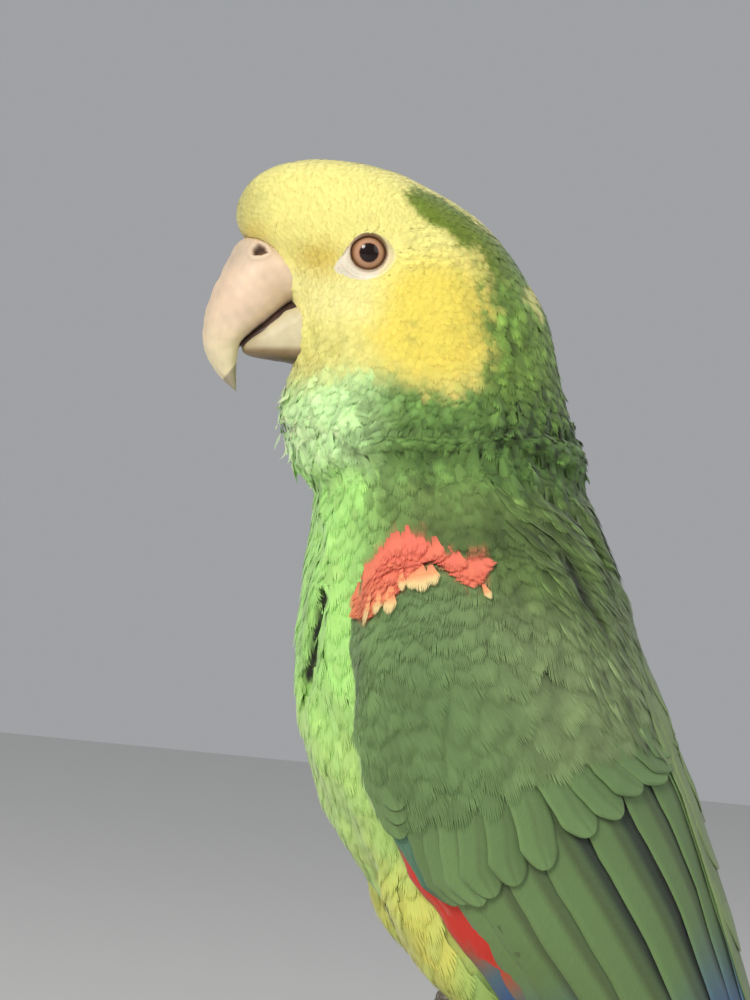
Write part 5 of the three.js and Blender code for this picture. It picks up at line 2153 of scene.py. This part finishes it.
def stand():
    """The wooden perch, the steel rod with its collar, and the turned base."""
    dowel = wood_material("perch_wood", (206, 172, 124), (160, 120, 76), 0.6)
    walnut = wood_material("base_wood", (98, 64, 42), (52, 32, 22), 0.38)
    steel = steel_material()
    turned("perch_dowel", rounded_bar(perch_low[0], perch_high[0], PERCH_RADIUS, 1.6, 60), 0,
           (0, PERCH_Y, PERCH_Z), 96, dowel, "perch_wood", "perch")
    rod_low, rod_high = (own(corner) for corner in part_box("stand_rod"))
    rod_radius = (rod_high[0] - rod_low[0]) / 2
    rod_centre = (0, (rod_low[1] + rod_high[1]) / 2, 0)
    turned("steel_rod", rounded_bar(rod_low[2], rod_high[2] + 1.5, rod_radius, 0.4, 8), 2,
           rod_centre, 48, steel, "rod_steel", "stand_rod")
    collar = [[rod_low[2] - 0.3, 9.5], [rod_low[2] + 1.2, 9.5], [rod_low[2] + 1.8, 9.0],
              [rod_low[2] + 2.2, 6.6], [rod_low[2] + 7.4, 6.4], [rod_low[2] + 7.8, 5.9]]
    turned("rod_collar", collar, 2, rod_centre, 48, steel, "rod_steel")
    base_low, base_high = (own(corner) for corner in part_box("stand_base"))
    base_radius = (base_high[0] - base_low[0]) / 2
    base_centre = (0, (base_low[1] + base_high[1]) / 2, 0)
    turn = np.linspace(0, math.pi / 2, 8)
    top = [[base_high[2] - 4 * (1 - math.sin(t)), base_radius - 4 * (1 - math.cos(t))] for t in turn]
    profile = [[base_low[2], base_radius - 3], [base_low[2] + 0.8, base_radius - 1.6],
               [base_low[2] + 3.0, base_radius - 1.2], [base_low[2] + 3.4, base_radius - 2.0],
               [base_low[2] + 4.0, base_radius - 2.0], [base_low[2] + 4.4, base_radius]] + top
    turned("turned_base", profile, 2, base_centre, 160, walnut, "base_wood", "stand_base")


# Camera, light and floor.

FLOOR_REACH = 3000.0


def camera():
    """Looks at the head and shoulders from the bird's left, a little in front."""
    turn, roll = math.radians(CAMERA_AZIMUTH), math.radians(CAMERA_ROLL)
    back = np.array([math.sin(turn), -math.cos(turn), 0])
    level = np.array([math.cos(turn), math.sin(turn), 0])
    up = np.array([0, 0, 1])
    right_way = level * math.cos(roll) + up * math.sin(roll)
    up_way = up * math.cos(roll) - level * math.sin(roll)
    data = bpy.data.cameras.new("camera")
    data.sensor_width = 36
    data.lens = data.sensor_width * CAMERA_DISTANCE / PICTURE_HEIGHT
    data.clip_start, data.clip_end = 0.02, 20
    made = placed("camera", data)
    place = metres(PICTURE_CENTRE) + back * CAMERA_DISTANCE / 1000
    matrix = np.eye(4)
    matrix[:3] = np.stack([right_way, up_way, back, place], 1)
    made.matrix_world = Matrix(matrix.tolist())
    bpy.context.scene.camera = made
    return right_way, up_way, back


def lamp(name, direction, distance, size, power, colour, aim):
    """A round soft light some metres away from the place that it points at."""
    data = bpy.data.lights.new(name, "AREA")
    data.shape = "DISK"
    data.size = size
    data.energy = power
    data.color = colour
    made = placed(name, data)
    made.location = metres(aim) + unit(direction) * distance
    made.rotation_mode = "QUATERNION"
    made.rotation_quaternion = Vector(unit(direction)).to_track_quat("Z", "Y")
    return made


def studio(right_way, up_way, back):
    """A warm key light from the upper left, two weak fills, a grey surround and a floor."""
    aim = np.array([0, 25, -60])
    tilt = math.radians(40)
    towards = back * math.cos(tilt) + (-0.55 * right_way + 0.83 * up_way) * math.sin(tilt)
    lamp("key_light", towards, 1.4, 0.5, 13.5, (1.0, 0.965, 0.9), aim)
    lamp("fill_light", back * 0.6 + right_way * 0.9 + up_way * 0.35, 1.8, 1.2, 5, (0.93, 0.97, 1.0), aim)
    lamp("top_light", up_way * 1.0 - back * 0.5 + right_way * 0.2, 1.8, 0.9, 6, (1, 1, 1), aim)
    world = bpy.data.worlds.new("studio")
    world.use_nodes = True
    world.node_tree.nodes["Background"].inputs[0].default_value = (0.78, 0.8, 0.83, 1)
    world.node_tree.nodes["Background"].inputs[1].default_value = 0.45
    bpy.context.scene.world = world
    ground = own(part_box("stand_base")[0])[2]
    paper = Finish("studio_floor", {"Base Color": (0.74, 0.73, 0.71, 1), "Roughness": 0.9})
    corners = FLOOR_REACH * np.array([[-1, -1], [1, -1], [1, 1], [-1, 1]])
    floor = mesh_object(
        "studio_floor", np.insert(corners, 2, ground, axis=1),
        [[0, 1, 2, 3]], [], paper.material, smooth=False,
    )
    bpy.context.scene.view_settings.view_transform = "Standard"


def coat_regions(p, wing):
    """Which region's coat each root belongs to; an empty name where no small feather grows."""
    _, y, z = p.T
    above = above_hood(p)
    gap, down = wing.locate(p)
    name = np.full(len(p), "body", dtype="<U8")
    name[above > 3.6] = "neck"
    name[(z > -30) & (above > 3.6)] = "crown"
    name[(y < 16) & (z > -30)] = "face"
    name[(gap < 2.2) & (down > 0.1 + 0.015 * ripple(p, 12, 81))] = ""
    name[(gap < 3.6) & (down > 0.33)] = ""
    front_edge = 0.82 * y + 0.57 * z < -25
    name[(gap < np.where(front_edge, 5.5, 4.4)) & (down > 0.5)] = ""
    name[bare_eye(p, -0.1) | on_slit(p)] = ""
    name[(red_share(p) > 0.5) & (z < -65)] = ""
    return name


def under_hood(p):
    """The band just above the neck's fold, where the collar's feathers grow."""
    above = above_hood(p)
    return (above > 2.2) & (above < 9)


def on_throat(p):
    x, y, z = p.T
    return (np.abs(x) < 5) & (y < -4) & (z < -32) & (above_hood(p) > 1)


def on_nape(p):
    _, y, z = p.T
    return (y > 30) & (z < -22) & (above_hood(p) > 2)


def inside_bill(points):
    """True for places that the bill covers."""
    covered = np.zeros(len(points), bool)
    for node_name in ("bill_upper", "bill_lower"):
        solid = released(welded([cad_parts[node_name].data]), "solid")
        places, normals = read_surface(solid).drop(points)
        covered |= ((points - places) * normals).sum(1) < 0.05
    return covered & (points[:, 1] < -8)


def main():
    rng = np.random.default_rng(7)
    right_way, up_way, back = camera()
    studio(right_way, up_way, back)

    paired = ("eye", "wing", "wing_tip", "thigh")
    whole = BODY_NODES + [f"{part}_{side}" for part in paired for side in SIDES]
    body = fused(whole, SKIN_VOXEL, 16, BILL_SLEEVES)
    shape_body(body)
    wing = Wing(body)
    skin(body, wing)

    soft = plume_material("soft_plume", 0.7, 0.06, 0.25)
    firm = plume_material("firm_plume", 0.55, 0.16, 0.45, 0.15)
    kinds = {
        "face": contour_shapes(7, 12, 0.16, 101), "crown": contour_shapes(9, 12, 0.14, 102),
        "neck": contour_shapes(11, 12, 0.12, 103), "body": contour_shapes(13, 12, 0.07, 104),
    }
    roots = scatter(body, coat_spacing, lambda p: coat_regions(p, wing) != "", rng)
    region = coat_regions(roots, wing)
    region[inside_bill(roots)] = ""
    slots = {"face": "head_feathers", "crown": "head_feathers", "neck": "body_feathers",
             "body": "body_feathers"}
    for name, shapes in kinds.items():
        chosen = roots[region == name]
        coat_piece(f"{name}_coat", slots[name], body, chosen, shapes, soft, COAT_LOOKS[name], rng)
    collar = scatter(body, lambda p: 0.7 * coat_spacing(p), under_hood, rng)
    look = dict(COAT_LOOKS["body"], deep=1.5, uneven=0.03)
    coat_piece("collar_coat", "body_feathers", body, collar, kinds["body"], soft, look, rng)
    tufts("throat_tufts", body, 3.8, on_throat, 5.6, 3.4, 1.25, soft, rng)
    tufts("nape_tufts", body, 3.4, on_nape, 4.6, 1.0, 1.2, soft, rng)

    wing_rows(wing, firm, rng)
    covert_rows(wing, soft, rng)
    shoulder_patch(body, wing, soft, rng)
    shoulder_feathers(body, wing, soft, rng)
    tail_fan(firm, rng)

    glass, bare = eye_material(), bare_skin_material()
    leather, horn = leg_material(), horn_material()
    nail = mottled_material("claw_horn", (44, 38, 34), (118, 106, 92), 700.0, 0.36)
    lid = mottled_material("lid_edge", (84, 56, 32), (142, 104, 70), 1500.0, 0.45)
    plates = plate_tree()
    for side in SIDES:
        eyeball(side, glass)
        ring = eye_ring(side, body, bare)
        lid_beads(side, ring, plates, lid)
        leg_skin(side, leather, plates)
        claws(side, nail)
    upper_bill(horn)
    lower_bill(horn)
    mouth()
    stand()


main()
